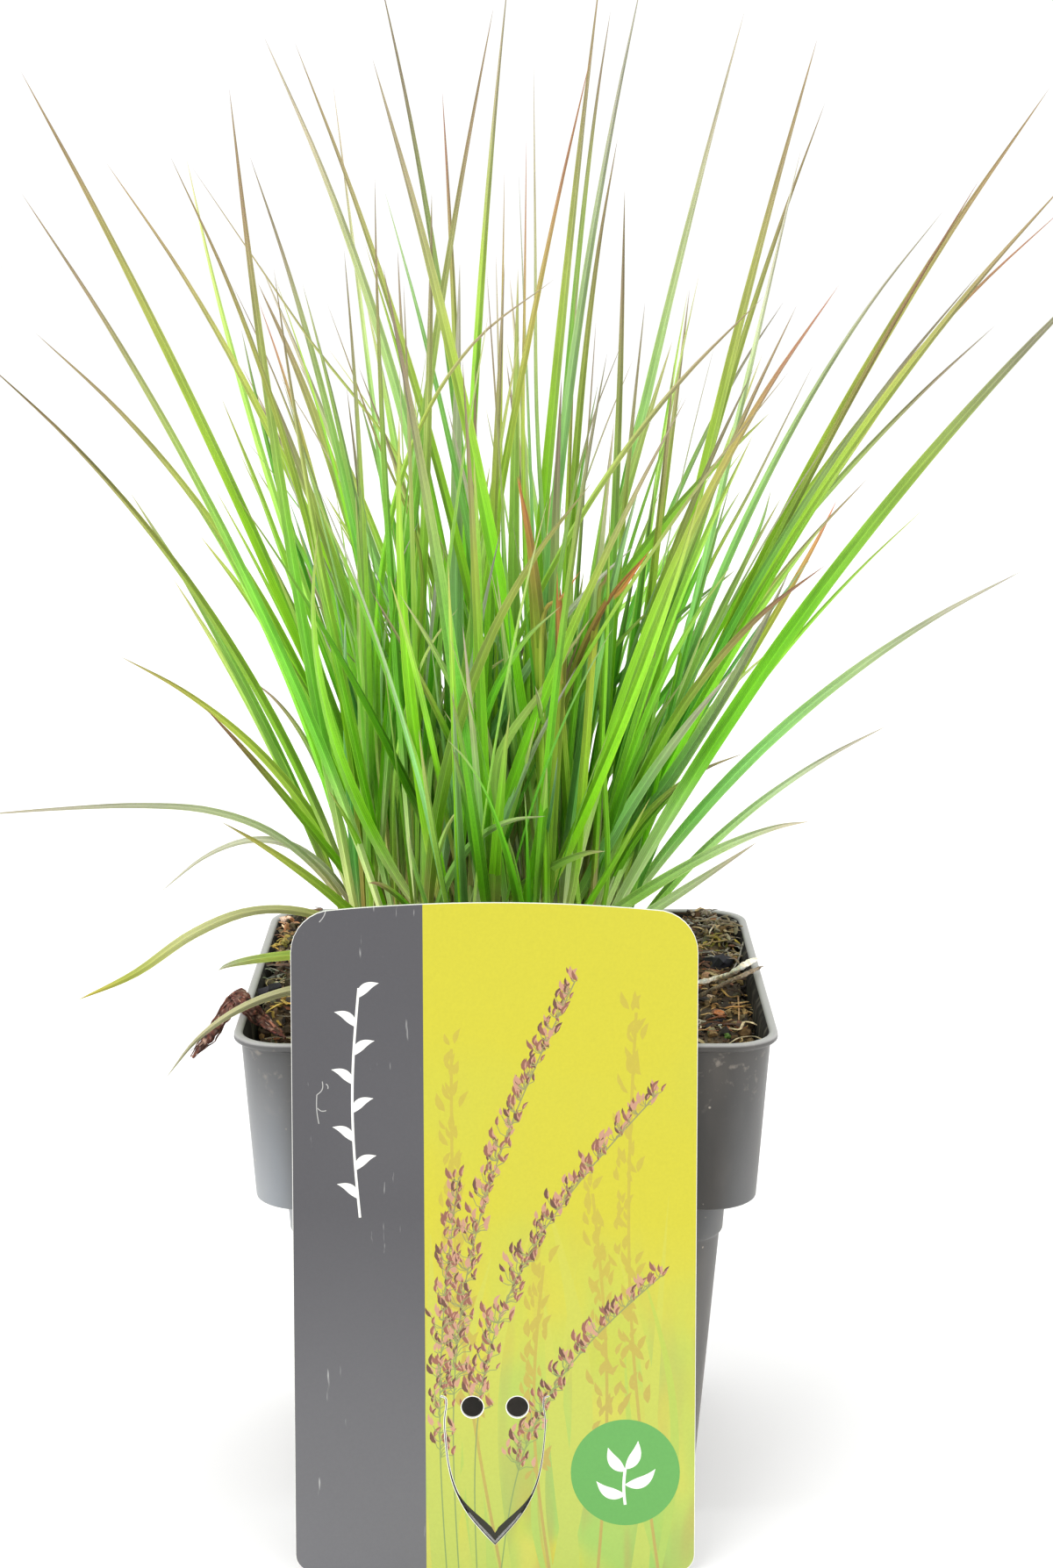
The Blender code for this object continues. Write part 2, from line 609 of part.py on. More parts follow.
def boxes_meet(one, other):
    return all(one[0][i] <= other[1][i] and other[0][i] <= one[1][i] for i in range(3))


class Tuft:
    """All shoots, and what has been grown so far, so that no two blades run into each other."""

    def __init__(self, obstacles):
        self.tillers = [Tiller(index) for index in range(TILLERS)]
        self.obstacles = obstacles
        self.grown = []

    def nearest(self, x, y):
        open_tillers = [tiller for tiller in self.tillers if tiller.free]
        return sorted(open_tillers, key=lambda tiller: (tiller.foot.xy - Vector((x, y))).length)

    def try_blade(self, tiller, through, tip, width, face, twist):
        part = tiller.part_towards(through)
        root = [corner.co.copy() for corner in part.verts]
        start = sum(root, Vector()) / 3
        rings = blade_rings(spine(start, through, tip), width, face, twist)
        for level, ring in enumerate(rings):
            rings[level] = match(ring, rings[level - 1] if level else root)
        wide = skin(root, rings, tip, CLEAR)
        if any(wide.overlap(tree) for tree in self.obstacles):
            return False
        if any(wide.overlap(other.hull) for other in self.tillers if other is not tiller):
            return False
        box = box_of([point for ring in rings for point in ring] + root + [tip])
        for owner, other_box, other_wide in self.grown:
            if owner is not tiller and boxes_meet(box, other_box) and wide.overlap(other_wide):
                return False
        if not tiller.grow(part, rings, tip):
            return False
        self.grown.append((tiller, box, wide))
        return True

    def add_seen(self, order, blade):
        """Grow a blade that the photograph shows, at the first depth where it has room."""
        rng = Random(9000 + order)
        face_turn = rng.uniform(-SEEN_TURN, SEEN_TURN)
        twist = rng.uniform(-SEEN_TWIST, SEEN_TWIST)
        face = Vector((sin(face_turn), -cos(face_turn), 0.25)).normalized()
        for tiller in self.wanted(blade)[:SHOOT_TRIES]:
            for shift in DEPTH_TRIES:
                depth = (blade.depth + shift) * MM
                tip = sight(blade.tip, depth)
                half_way = tiller.top.y + (depth - tiller.top.y) * HALF_WAY
                through = sight(blade.through, half_way)
                if self.try_blade(tiller, through, tip, blade.width * MM, face, twist):
                    tiller.hue = tiller.hue or blade.hue
                    return True
        return False

    def wanted(self, blade):
        share, most = FOOT_DEPTH
        foot_y = max(-most, min(most, share * blade.depth)) * MM
        return self.nearest(sight((blade.foot, 1100), foot_y).x, foot_y)

    def add_filler(self, tiller, slot):
        """Grow a blade that ends somewhere in the dense middle of the tuft."""
        for turn in range(FILLER_TRIES):
            rng = Random(f"{tiller.index} {slot} {turn}")
            down = rng.uniform(*FILLER_DOWN)
            side = FILLER_WAIST + FILLER_SPREAD * (FILLER_FOOT - down)
            across = FILLER_MIDDLE + rng.uniform(-1, 1) * min(side, FILLER_SIDE)
            depth = rng.uniform(*FILLER_DEPTH) * MM
            lift = rng.uniform(*FILLER_LIFT)
            width = rng.uniform(*FILLER_WIDTH) * MM
            spin = rng.uniform(-pi, pi)
            twist = rng.uniform(-FILLER_TWIST, FILLER_TWIST)
            tip = sight((across, down), depth)
            reach = tip - tiller.top
            place = (tiller.foot - PLANT).xy
            inward = reach.xy.dot(place) < 0 and place.length > OUTER_SHOOTS * TUFT_RADIUS
            if inward or reach.z < FILLER_RISE or reach.length < FILLER_REACH:
                continue
            through = tiller.top + reach * 0.5 + UP * lift * reach.length
            face = Vector((sin(spin), -cos(spin), 0.3)).normalized()
            if self.try_blade(tiller, through, tip, width, face, twist):
                return True
        return False


def rod(path, radii, sides=5):
    """A bent stick through a few points, thinner or thicker from one point to the next."""
    rings = []
    for i, point in enumerate(path):
        along = (path[min(i + 1, len(path) - 1)] - path[max(i - 1, 0)]).normalized()
        side = along.cross(UP).normalized()
        over = side.cross(along)
        ring = []
        for turn in range(sides):
            angle = 2 * pi * turn / sides
            ring.append(point + (side * cos(angle) + over * sin(angle)) * radii[i])
        rings.append(ring)
    return loft(rings)


def sight_down(pixel, height):
    """The point that a pixel of the photograph shows at a height above the ground."""
    near = sight(pixel, 0)
    return EYE + (near - EYE) * (height - EYE.z) / (near.z - EYE.z)


def build_debris(bark, straw):
    """Loose bits on the soil: a bark strip over the left rim, a straw and a twig on the right."""
    on_lip = POT_HEIGHT + GAP
    on_soil = SOIL_LEVEL + SOIL_LUMP + GAP
    strip = [sight_down((325, 1183), on_soil + 1.3 * MM),
             sight_down((300, 1164), on_soil + 2.9 * MM),
             sight_down((280, 1144), on_lip + 1.5 * MM),
             sight_down((269, 1138), on_lip + 1.4 * MM),
             sight((247, 1170), -25 * MM), sight((219, 1205), -27 * MM)]
    stalk = [sight_down((793, 1121), on_soil + 1.2 * MM),
             sight_down((817, 1115), on_soil + 1.7 * MM),
             sight_down((832, 1110), on_soil + 3.4 * MM),
             sight_down((848, 1100), on_lip + 0.9 * MM), sight_down((865, 1091), on_lip + 1.2 * MM)]
    twig = [sight_down((793, 1137), on_soil + 0.7 * MM),
            sight_down((824, 1122), on_soil + 3.6 * MM),
            sight_down((848, 1111), on_lip + 0.9 * MM), sight_down((869, 1101), on_lip + 0.7 * MM)]
    worn = [0.7 * MM, 1.0 * MM, 1.0 * MM, 1.1 * MM, 1.0 * MM, 0.4 * MM]
    return (
        add_object("bark_strip", rod(strip, worn), bark),
        add_object("dead_straw", rod(stalk, [0.6 * MM, 0.6 * MM, 0.7 * MM, 0.8 * MM, 0.9 * MM]), straw),
        add_object("brown_twig", rod(twig, [0.5 * MM, 0.6 * MM, 0.5 * MM, 0.4 * MM]), bark),
    )


def tree_of(built):
    """The surface of a finished piece, modifiers and all, for testing what touches it."""
    bpy.context.view_layer.update()
    shape = built.evaluated_get(bpy.context.evaluated_depsgraph_get())
    mesh = shape.to_mesh()
    corners = [built.matrix_world @ corner.co for corner in mesh.vertices]
    return BVHTree.FromPolygons(corners, [tuple(face.vertices) for face in mesh.polygons])


def main():
    clear_scene()
    plastic = material("pot_plastic", (0.11, 0.11, 0.11), 0.5)
    peat = material("peat", (0.03, 0.02, 0.015), 0.95)
    fibre = material("crown_fibre", (0.12, 0.08, 0.04), 0.9)
    card = material("label_plastic", (0.62, 0.68, 0.15), 0.35)
    bark = material("bark", (0.16, 0.08, 0.04), 0.85)
    straw = material("dry_straw", (0.62, 0.55, 0.40), 0.7)
    blade_finish = {hue: material("blade_" + hue, colour, 0.45) for hue, colour in COLOURS.items()}
    still = [build_pot(plastic), build_soil(peat), build_crown(fibre), build_label(card)]
    still += build_debris(bark, straw)
    tuft = Tuft([tree_of(piece) for piece in still])
    missed = [order for order, blade in enumerate(SEEN) if not tuft.add_seen(order, blade)]
    short = 0
    for tiller in tuft.tillers:
        for slot in range(len(tiller.free)):
            if not tuft.add_filler(tiller, slot):
                short += 1
        finish = blade_finish[tiller.hue or FILLER_HUE]
        add_object(f"tiller_{tiller.index + 1:02d}", tiller.mesh, finish)
    print("blades", len(tuft.grown), "missed", missed, "short", short)


main()
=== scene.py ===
"""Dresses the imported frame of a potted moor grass: leaves, soil, pot, printed card and studio."""

from functools import partial
from math import atan2, cos, pi, radians, sin, sqrt, tau
from random import Random

import bmesh
import bpy
from mathutils import Euler, Matrix, Quaternion, Vector, geometry, noise


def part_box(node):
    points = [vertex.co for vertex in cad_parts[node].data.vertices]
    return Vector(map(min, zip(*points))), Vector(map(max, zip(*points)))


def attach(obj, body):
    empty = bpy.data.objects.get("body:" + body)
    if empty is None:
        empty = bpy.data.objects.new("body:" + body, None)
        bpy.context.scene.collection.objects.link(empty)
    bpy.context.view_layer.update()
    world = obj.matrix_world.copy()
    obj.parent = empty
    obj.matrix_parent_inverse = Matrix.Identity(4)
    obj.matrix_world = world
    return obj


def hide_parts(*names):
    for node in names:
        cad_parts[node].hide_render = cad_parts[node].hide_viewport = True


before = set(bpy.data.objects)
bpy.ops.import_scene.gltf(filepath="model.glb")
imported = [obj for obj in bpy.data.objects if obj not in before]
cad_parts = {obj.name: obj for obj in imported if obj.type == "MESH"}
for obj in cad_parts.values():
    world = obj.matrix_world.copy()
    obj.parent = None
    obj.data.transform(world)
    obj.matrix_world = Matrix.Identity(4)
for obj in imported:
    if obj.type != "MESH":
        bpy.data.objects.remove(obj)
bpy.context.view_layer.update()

bl_info = {
    "name": "Potted moor grass",
    "version": (1, 0, 0),
    "blender": (4, 5, 0),
    "location": "3D View > Sidebar > Moor grass",
    "description": "Dresses a pot of moor grass with leaves, soil, a printed card and a studio",
    "category": "Add Mesh",
}

MM = 0.001
UP = Vector((0, 0, 1))
BODY = "root"
SHOOTS = sorted(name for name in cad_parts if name.startswith("tiller_"))

# Where the photograph was taken from, in its own frame of 1200 by 1787 pixels
PHOTO_SIZE = (1200, 1787)
FOCAL_PX = 3400.0
SENSOR = 36.0
PITCH = radians(11.9)
EYE = Vector((3.4, -511.0, 229.6)) * MM
AHEAD = Vector((0, cos(PITCH), -sin(PITCH)))
RIGHT = Vector((1, 0, 0))
OVERHEAD = RIGHT.cross(AHEAD)

# The pot, as in the frame: half widths across the flats
POT_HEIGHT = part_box("pot")[1].z
RIM_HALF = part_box("pot")[1].x
COLLAR_FOOT = POT_HEIGHT - 29.5 * MM
COLLAR_FOOT_HALF = 42.0 * MM
BODY_TOP_HALF = 37.3 * MM
BODY_FOOT_HALF = 32.3 * MM
LIP_HEIGHT = 1.5 * MM
LIP_PROUD = 1.1 * MM
LIP_TOP = 1.2 * MM
LEDGE_DROP = 7.5 * MM
LEDGE = 0.5 * MM
RIM_RADIUS = 8.5 * MM
BODY_RADIUS = 8.0 * MM
FLOOR_THICK = 1.6 * MM
DRAIN_RADIUS = 3.5 * MM
DRAIN_REACH = (22.5 * MM, 28.8 * MM)
DRAIN_HOLES = 8

# The soil and the crown
PLANT = Vector((-3.0, 0, 0)) * MM
SOIL_LEVEL = 81.6 * MM
SOIL_RISE = 6.5 * MM
WALL_GAP = 0.3 * MM                 # between the soil and the pot
GROUND_RINGS = 22                   # rings of the soil's top from the wall to the crown
SEAT_RADIUS = 25.6 * MM
CROWN_RADIUS = 24.3 * MM
CROWN_TOP = 86.0 * MM
CROWN_DROP = 3.4 * MM
CROWN_FIBRES = 520

# The card, as in the frame
CARD_LOW, CARD_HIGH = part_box("plant_label")
CARD_WIDTH = CARD_HIGH.x - CARD_LOW.x
CARD_LENGTH = 112.0 * MM
CARD_THICK = 0.6 * MM
CARD_CORNER = 7.0 * MM
CARD_FOOT_CORNER = 3.0 * MM
CARD_ARCH = 1.2 * MM
CORNER_STEPS = 8
ARCH_STEPS = 24
CARD_LEAN = (CARD_HIGH.y - CARD_LOW.y - CARD_THICK) / (CARD_HIGH.z - CARD_LOW.z)
HOLE_RADIUS = 1.8 * MM
HOLE_SIDE = 3.7 * MM
HOLE_DROP = 1.5 * MM
TONGUE_TOP = 29.6 * MM
TONGUE_HALF = 9.0 * MM
TONGUE_LENGTH = 24.7 * MM
SHADE_WIDTH = 1.5 * MM
# The left side of the cut round the tongue, across and up from its hook's end; in mm
TONGUE_SIDE = ((0.0, 0.4), (0.9, 0.0), (1.0, -1.2), (0.7, -4.0), (0.9, -7.5), (1.4, -11.5),
               (2.5, -15.5), (4.8, -19.8))
BAND_SHARE = 0.326                  # of the card's width
# The print's badge and vine, from the middle of the card's foot; in mm
BADGE = (21.5, 17)
BADGE_RADIUS = 9
VINE_FOOT, VINE_TOP = 60, 98
PRINTED_LEAVES = 16
STEM_STEPS = 48
SEEDS_FROM = 0.3                    # how far up a printed stem its seeds begin
# Scratches on the card: start, end and bow; in mm
CARD_SCRATCHES = (((-28.0, 82.6), (-28.9, 80.4), 0.2), ((-28.9, 80.4), (-28.6, 75.6), -0.04),
                  ((-28.8, 78.2), (-27.4, 77.8), -0.2), ((-27.4, 82.2), (-27.1, 81.4), 0.2),
                  ((-27.2, 110.8), (-28.3, 108.8), 0.08))
# The print's stems: start, end, bow, number of seeded joints, and whether out of focus; in mm
PRINTED_STEMS = (((1, 0.3), (-7, 88), 0.03, 24, True), ((27, 0.3), (23, 94), 0.03, 26, True),
                 ((17, 0.3), (16, 64), -0.03, 17, True), ((9, 0.3), (8, 52), 0.04, 14, True),
                 ((-6, 0.3), (13, 99), 0.08, 46, False), ((-3, 0.3), (26, 80), 0.13, 40, False),
                 ((1, 0.3), (27, 50), 0.12, 24, False), ((-8, 0.3), (-6, 66), 0.03, 30, False))

BLADE_RINGS = 6                     # three-cornered rings of each packed blade, its root included
LEAF_STEPS = 34                     # rings along a leaf
SHADE_FOOT, SHADE_TOP = 118 * MM, 185 * MM      # the tuft's heart darkens downwards between these
HUE_STOPS = (0.0, 0.26, 0.46, 0.68, 0.85, 1.0)
# A leaf's colours above its foot, up to its tip. Fresh g, h, d, k and l run from yellow-green to
# cool green; o and b brown at their tips, p and r turn purple, e orange and m olive; n, c and w
# are pale, s is old and bent, and t and y are dying
HUES = {
    "g": ("#6cb414", "#74bc1e", "#90a244", "#8e8468", "#786a60"),
    "o": ("#6eac14", "#7cac24", "#929c4c", "#8a7c5c", "#76604e"),
    "p": ("#7ab854", "#90cc6c", "#a2b47c", "#a6a08a", "#948a80"),
    "b": ("#5ea42c", "#6aae36", "#869654", "#80725c", "#6a584e"),
    "r": ("#6eb018", "#80b42c", "#94924c", "#8e6c54", "#845248"),
    "e": ("#70a818", "#80a02c", "#94803c", "#a46c3c", "#a05434"),
    "d": ("#4c9010", "#549a18", "#5ea424", "#709440", "#7c7a58"),
    "h": ("#74bc18", "#7ac222", "#80be32", "#8eb24a", "#94905c"),
    "k": ("#5c9c40", "#6aa84c", "#74ac56", "#7ea66c", "#8e9c80"),
    "l": ("#80b23c", "#8abe4c", "#92be58", "#9cae66", "#a09a78"),
    "m": ("#6ca010", "#86a836", "#94a440", "#9c984c", "#887a5c"),
    "s": ("#8c9050", "#a0a474", "#a2a876", "#98a24a", "#988a38"),
    "n": ("#d0f074", "#d8f084", "#dce8a8", "#dcdcc0", "#d0d0c4"),
    "c": ("#c0c8a0", "#d0d4b8", "#d8dcc0", "#ccccb8", "#b8b4a8"),
    "w": ("#8cbc50", "#a2c674", "#aebe8c", "#b4aa94", "#a89688"),
    "t": ("#8a9468", "#969c72", "#98967c", "#968c7a", "#8c7e6c"),
    "y": ("#a0966c", "#b8ac80", "#beb286", "#a69a78", "#948a78"),
}
# A leaf's colour at its very foot is one of these
FOOT_HUES = ("#dce0a0", "#ccb080", "#b0845c", "#a4c850", "#e4e8b0")
# The tips in the photograph, by the colour that the leaf turns towards its tip
TIP_HUES = {
    "y": ((188, 1230),),
    "s": ((88, 1140),),
    "n": ((248, 1106),),
    "c": ((180, 1019),),
    "w": ((923, 936), (1013, 826), (864, 959)),
    "o": ((-25, 405), (40, 379), (120, 184), (193, 176), (312, 306), (335, 46), (392, 283),
          (686, -45), (704, 157), (932, 42), (941, 115), (1197, 99), (1222, 200), (990, 544),
          (849, 858), (492, 218), (23, 80), (294, 322)),
    "b": ((23, 218), (261, 99), (430, -40), (563, 5), (427, 199), (453, 283), (696, 11),
          (709, 390), (893, 344), (1117, 310), (283, 772)),
    "t": ((-40, 930),),
    "m": ((251, 936), (135, 747), (676, 548)),
    "e": ((740, 628), (696, 632), (635, 650), (589, 542), (954, 569), (237, 576)),
    "p": ((300, 40), (379, 92), (1076, 239), (839, 760), (745, 471), (1168, 649), (900, 650),
          (849, 11), (914, 165)),
    "l": ((622, 930), (690, 970)),
    "r": ((504, 103), (295, 344), (675, 57), (956, 325), (1117, 203), (1215, 235),
          (942, 643), (233, 806), (420, 1006)),
    "d": ((291, 532), (845, 557), (879, 557)),
}
# Where the photograph doesn't tell a leaf's hue, it is drawn from these: tall, short and young
TALL_HUES = "gggobblp"
FILLER_HUES = "hhhhhhhkllddpgo"
INNER_HUES = "hhhhhkklllddp"
# How far a leaf of a hue hangs below its packed blade, and how near its tip it does so most
SAGS = {"t": (4.5 * MM, 2.0), "s": (4.2 * MM, 3.5)}
SHORT_BELOW = 450                   # tips under this row of the photograph stay green
STEM_ROW = 900                      # the row a little above the stems' ends
SHEATH_PAST = 7                     # how far a sheath reaches past its stem's end, in mm
THIN_RISE = 14                      # how far a thin leaf goes on straight from its stem, in mm
# Thin leaves against the sky: tip and middle in the photograph, depth in mm, width in mm, hue
THIN_LEAVES = (((608, 69), (612, 480), 2, 0.9, "p"), ((600, 154), (596, 500), -8, 0.9, "r"),
               ((591, 192), (604, 520), 12, 0.8, "p"), ((575, 192), (570, 500), -4, 0.8, "o"),
               ((565, 285), (572, 560), 6, 1.0, "p"), ((373, 346), (480, 640), -10, 0.9, "o"),
               ((927, 415), (790, 690), -6, 1.1, "g"), ((215, 185), (470, 560), 8, 0.9, "o"),
               ((591, 540), (605, 640), -18, 1.5, "e"), ((636, 652), (642, 740), -22, 1.7, "e"),
               ((662, 650), (618, 712), -24, 1.1, "e"), ((741, 626), (680, 712), -22, 1.6, "e"),
               ((698, 630), (682, 690), -14, 1.0, "r"), ((676, 700), (570, 860), -26, 2.2, "l"))


def linear(code):
    """Turn an sRGB hex colour such as #5db81e into linear red, green and blue."""
    levels = [int(code[i:i + 2], 16) / 255 for i in (1, 3, 5)]
    return tuple(v / 12.92 if v <= 0.04045 else ((v + 0.055) / 1.055) ** 2.4 for v in levels)


def colour_prop(name, description, code):
    return bpy.props.FloatVectorProperty(
        name=name, description=description, subtype="COLOR", min=0, max=1, default=linear(code))


def size_prop(name, description, millimetres):
    return bpy.props.FloatProperty(
        name=name, description=description, subtype="DISTANCE", unit="LENGTH", min=0,
        precision=5, default=millimetres * MM)


def count_prop(name, description, number):
    return bpy.props.IntProperty(name=name, description=description, min=0, default=number)


def share_prop(name, description, share):
    return bpy.props.FloatProperty(
        name=name, description=description, subtype="FACTOR", min=0, max=1, default=share)


class PotSettings(bpy.types.PropertyGroup):
    """Sizes and colours of the nursery pot"""
    plastic: colour_prop("Plastic", "Colour of the moulded plastic", "#2c2a28")
    # Painted sheen: the colour of the pale sheen painted round the pot's corners
    painted_sheen: colour_prop("Bloom", "Colour of the pale bloom round the corners", "#b9c0c8")
    # Painted highlight: the colour of the pale lines painted along the pot's sharp edges and its
    # lip's top
    worn: colour_prop("Worn plastic", "Colour along scuffed edges", "#b4b3b0")
    dust: colour_prop("Dust", "Colour of the dry dust on the pot", "#9c9286")
    wall: size_prop("Wall", "Thickness of the pot's wall", 1.0)
    rounding: size_prop("Rounding", "Rounding along the moulded edges", 0.45)


class SoilSettings(bpy.types.PropertyGroup):
    """Sizes and colours of the potting soil and what lies on it"""
    peat: colour_prop("Peat", "Colour of the damp peat", "#42352a")
    fibre: colour_prop("Fibre", "Colour of the peat fibres and moss", "#c0a874")
    bark: colour_prop("Bark", "Colour of the bark bits", "#8a5a40")
    straw: colour_prop("Straw", "Colour of the dry straws", "#f0e9d8")
    twig: colour_prop("Twig", "Colour of the fine twig", "#9a8a72")
    lump: size_prop("Lump", "Height of the soil's lumps", 1.0)
    grain: size_prop("Grain", "Width of the soil's lumps", 7.0)
    litter: size_prop("Litter", "Depth of the loose litter on the packed soil", 1.3)
    crumbs: count_prop("Crumbs", "How many loose crumbs lie on the soil", 3000)
    chips: count_prop("Chips", "How many bark splinters lie on the soil", 260)
    threads: count_prop("Threads", "How many fibres lie on the soil", 900)


class LeafSettings(bpy.types.PropertyGroup):
    """Sizes and colours of the leaves and their sheaths"""
    thickness: size_prop("Thickness", "Thickness of a leaf along its midrib", 0.22)
    sheath: size_prop("Sheath", "Half width of a shoot's sheath at its foot", 1.55)
    sheath_foot: colour_prop("Sheath foot", "Colour of a sheath at its foot", "#9a6c58")
    sheath_top: colour_prop("Sheath top", "Colour of a sheath at its top", "#a4bc68")
    dry: colour_prop("Dry sheath", "Colour of the dead sheaths round the shoots", "#a78b62")
    inner: count_prop("Inner leaves", "Most young leaves added to a shoot between its blades", 4)
    ribs: size_prop("Ribs", "Distance between a leaf's ribs", 0.28)
    gloss: share_prop("Roughness", "Roughness of the leaf's skin", 0.42)


class CardSettings(bpy.types.PropertyGroup):
    """Sizes and colours of the printed card"""
    band_top: colour_prop("Band top", "Colour of the dark band at its top", "#4c4b4f")
    band_foot: colour_prop("Band foot", "Colour of the dark band at its foot", "#6c6c6f")
    yellow: colour_prop("Yellow", "Warm colour of the printed field", "#c2bb26")
    lime: colour_prop("Lime", "Cool colour of the printed field", "#bfc158")
    green: colour_prop("Green", "Colour of the printed leaves", "#6fb75c")
    seed: colour_prop("Seed", "Colour of the printed seeds", "#9a6350")
    core: colour_prop("Core", "Colour of the card where it is cut", "#f2f2ec")
    margin: size_prop("Margin", "Bare line between the print and the cut edge", 0.08)
    slit: size_prop("Slit", "Width of the cut round the tongue", 0.4)
    bend: size_prop("Bend", "How far the tongue's point stands back", 0.5)


class StageSettings(bpy.types.PropertyGroup):
    """Colours and strengths of the studio"""
    floor: colour_prop("Floor", "Colour of the floor", "#fbfbfa")
    light: bpy.props.FloatProperty(
        name="Light", description="Power of the main light", subtype="POWER", unit="POWER",
        min=0, default=9)
    surround: bpy.props.FloatProperty(
        name="Surround", description="Brightness of the white surroundings", min=0, default=1.06)


def add_node(tree, kind, inputs=None, **settings):
    """Add a node with its settings. Its inputs take plain values, sockets or other nodes."""
    made = tree.nodes.new("ShaderNode" + kind)
    for name, value in settings.items():
        setattr(made, name, value)
    for name, value in (inputs or {}).items():
        if isinstance(name, int):
            socket = made.inputs[name]
        else:
            socket = next(s for s in made.inputs if s.enabled and s.name == name)
        if isinstance(value, bpy.types.Node):
            value = next(s for s in value.outputs if s.enabled)
        if isinstance(value, bpy.types.NodeSocket):
            tree.links.new(value, socket)
        else:
            socket.default_value = value
    return made


def rgba(colour):
    return (*colour, 1)


def new_tree(name):
    """A material with an empty node tree, and the call that adds a node to it."""
    made = bpy.data.materials.new(name)
    made.use_nodes = True
    made.node_tree.nodes.clear()
    return made, partial(add_node, made.node_tree)


def finish_tree(add, inputs):
    add("OutputMaterial", {"Surface": add("BsdfPrincipled", inputs)})


def painted_corner_sheen(add, sides, clouds):
    """How much painted sheen lies on the pot: most at its upright corners and on its left side,
    less towards its lip.
    """
    height = sides.outputs["Z"]
    body = add("MapRange", {
        "Value": height, "From Max": COLLAR_FOOT,
        "To Min": BODY_FOOT_HALF, "To Max": BODY_TOP_HALF})
    collar = add("MapRange", {
        "Value": height, "From Min": COLLAR_FOOT, "From Max": POT_HEIGHT,
        "To Min": COLLAR_FOOT_HALF - BODY_TOP_HALF,
        "To Max": RIM_HALF - LIP_PROUD - BODY_TOP_HALF})
    above = add("Math", {0: height, 1: COLLAR_FOOT}, operation="GREATER_THAN")
    half = add("Math", {0: collar, 1: above, 2: body}, operation="MULTIPLY_ADD")
    across, deep = (add("Math", {0: sides.outputs[axis], 1: half}, operation="DIVIDE")
                    for axis in "XY")
    corner = add("Math", {0: deep, 1: across}, operation="MULTIPLY")
    corner = add("Math", {0: corner}, operation="ABSOLUTE")
    # More painted sheen on the pot's left side, towards the stronger side light
    corner = add("Math", {0: across, 1: -0.07, 2: corner}, operation="MULTIPLY_ADD")
    painted_sheen = add("MapRange", {
        "Value": corner, "From Min": 0.74, "From Max": 0.98, "To Max": 0.55},
        interpolation_type="SMOOTHSTEP")
    # Less painted sheen towards the lip
    sheen_towards_foot = add("MapRange", {
        "Value": height, "From Min": POT_HEIGHT, "From Max": COLLAR_FOOT, "To Min": 0.15})
    uneven = add("MapRange", {
        "Value": clouds, "From Min": 0.3, "From Max": 0.7, "To Min": 0.78, "To Max": 1.0})
    for share in (uneven, sheen_towards_foot):
        painted_sheen = add("Math", {0: painted_sheen, 1: share}, operation="MULTIPLY")
    return painted_sheen


def dry_dust(add, place, height, streaks, clouds):
    """How much dust lies on the pot: streaks low down, specks, and splashes under its lip."""
    splash = add("TexNoise", {"Vector": place, "Scale": 1 / (1.6 * MM), "Detail": 4})
    splash = add("MapRange", {"Value": splash, "From Min": 0.58, "From Max": 0.72})
    speck = add("TexVoronoi", {"Vector": place, "Scale": 1 / (4 * MM)})
    speck = add("MapRange", {"Value": speck, "From Min": 0.07, "From Max": 0.03})
    low = add("MapRange", {
        "Value": height, "From Min": COLLAR_FOOT, "From Max": 0, "To Min": 0.12, "To Max": 0.34})
    high = add("MapRange", {
        "Value": height, "From Min": POT_HEIGHT - 14 * MM, "From Max": POT_HEIGHT - 3 * MM,
        "To Max": 0.4})
    dust = add("Math", {0: streaks, 1: clouds}, operation="MULTIPLY")
    dust = add("MapRange", {"Value": dust, "From Min": 0.08, "From Max": 0.46})
    dust = add("Math", {0: dust, 1: low}, operation="MULTIPLY")
    dust = add("Math", {0: dust, 1: speck}, operation="MAXIMUM")
    return add("Math", {0: splash, 1: high, 2: dust}, operation="MULTIPLY_ADD", use_clamp=True)


def moulded_polypropylene(settings):
    """Injection-moulded polypropylene: satin dark grey with a fine grain. A painted pale sheen lies
    round its corners and dry dust on its sides, and painted highlights run along its lip and its
    sharp edges."""
    made, add = new_tree("moulded_polypropylene")
    place = add("TexCoord").outputs["Object"]
    upright = add("Mapping", {"Vector": place, "Scale": (1, 1, 0.3)})
    streaks = add("TexNoise", {"Vector": upright, "Scale": 1 / (5 * MM), "Detail": 5})
    clouds = add("TexNoise", {"Vector": place, "Scale": 1 / (20 * MM), "Detail": 5})
    # The mould's grain is finer in life; it is drawn coarser to show
    grain = add("TexNoise", {"Vector": place, "Scale": 1 / (0.4 * MM), "Detail": 2})
    sides = add("SeparateXYZ", {0: place})
    height = sides.outputs["Z"]
    edge = add("NewGeometry").outputs["Pointiness"]
    # Painted highlights: paler along sharp edges, and in a band along the lip's top
    worn = add("MapRange", {"Value": edge, "From Min": 0.53, "From Max": 0.62, "To Max": 0.2})
    lip = add("MapRange", {
        "Value": height, "From Min": POT_HEIGHT - 0.5 * MM, "From Max": POT_HEIGHT - 0.1 * MM,
        "To Max": 0.72})
    base = rgba(settings.plastic)
    for share, colour in ((painted_corner_sheen(add, sides, clouds), settings.painted_sheen),
                          (dry_dust(add, place, height, streaks, clouds), settings.dust),
                          (worn, settings.worn), (lip, settings.worn)):
        base = add("Mix", {"Factor": share, "A": base, "B": rgba(colour)}, data_type="RGBA")
    rough = add("MapRange", {
        "Value": clouds, "From Min": 0.3, "From Max": 0.7, "To Min": 0.36, "To Max": 0.5})
    bump = add("Bump", {"Height": grain, "Strength": 0.25, "Distance": 0.04 * MM})
    finish_tree(add, {
        "Base Color": base, "Roughness": rough, "Normal": bump, "IOR": 1.49,
        "Sheen Weight": 0.12, "Sheen Roughness": 0.4})
    return made


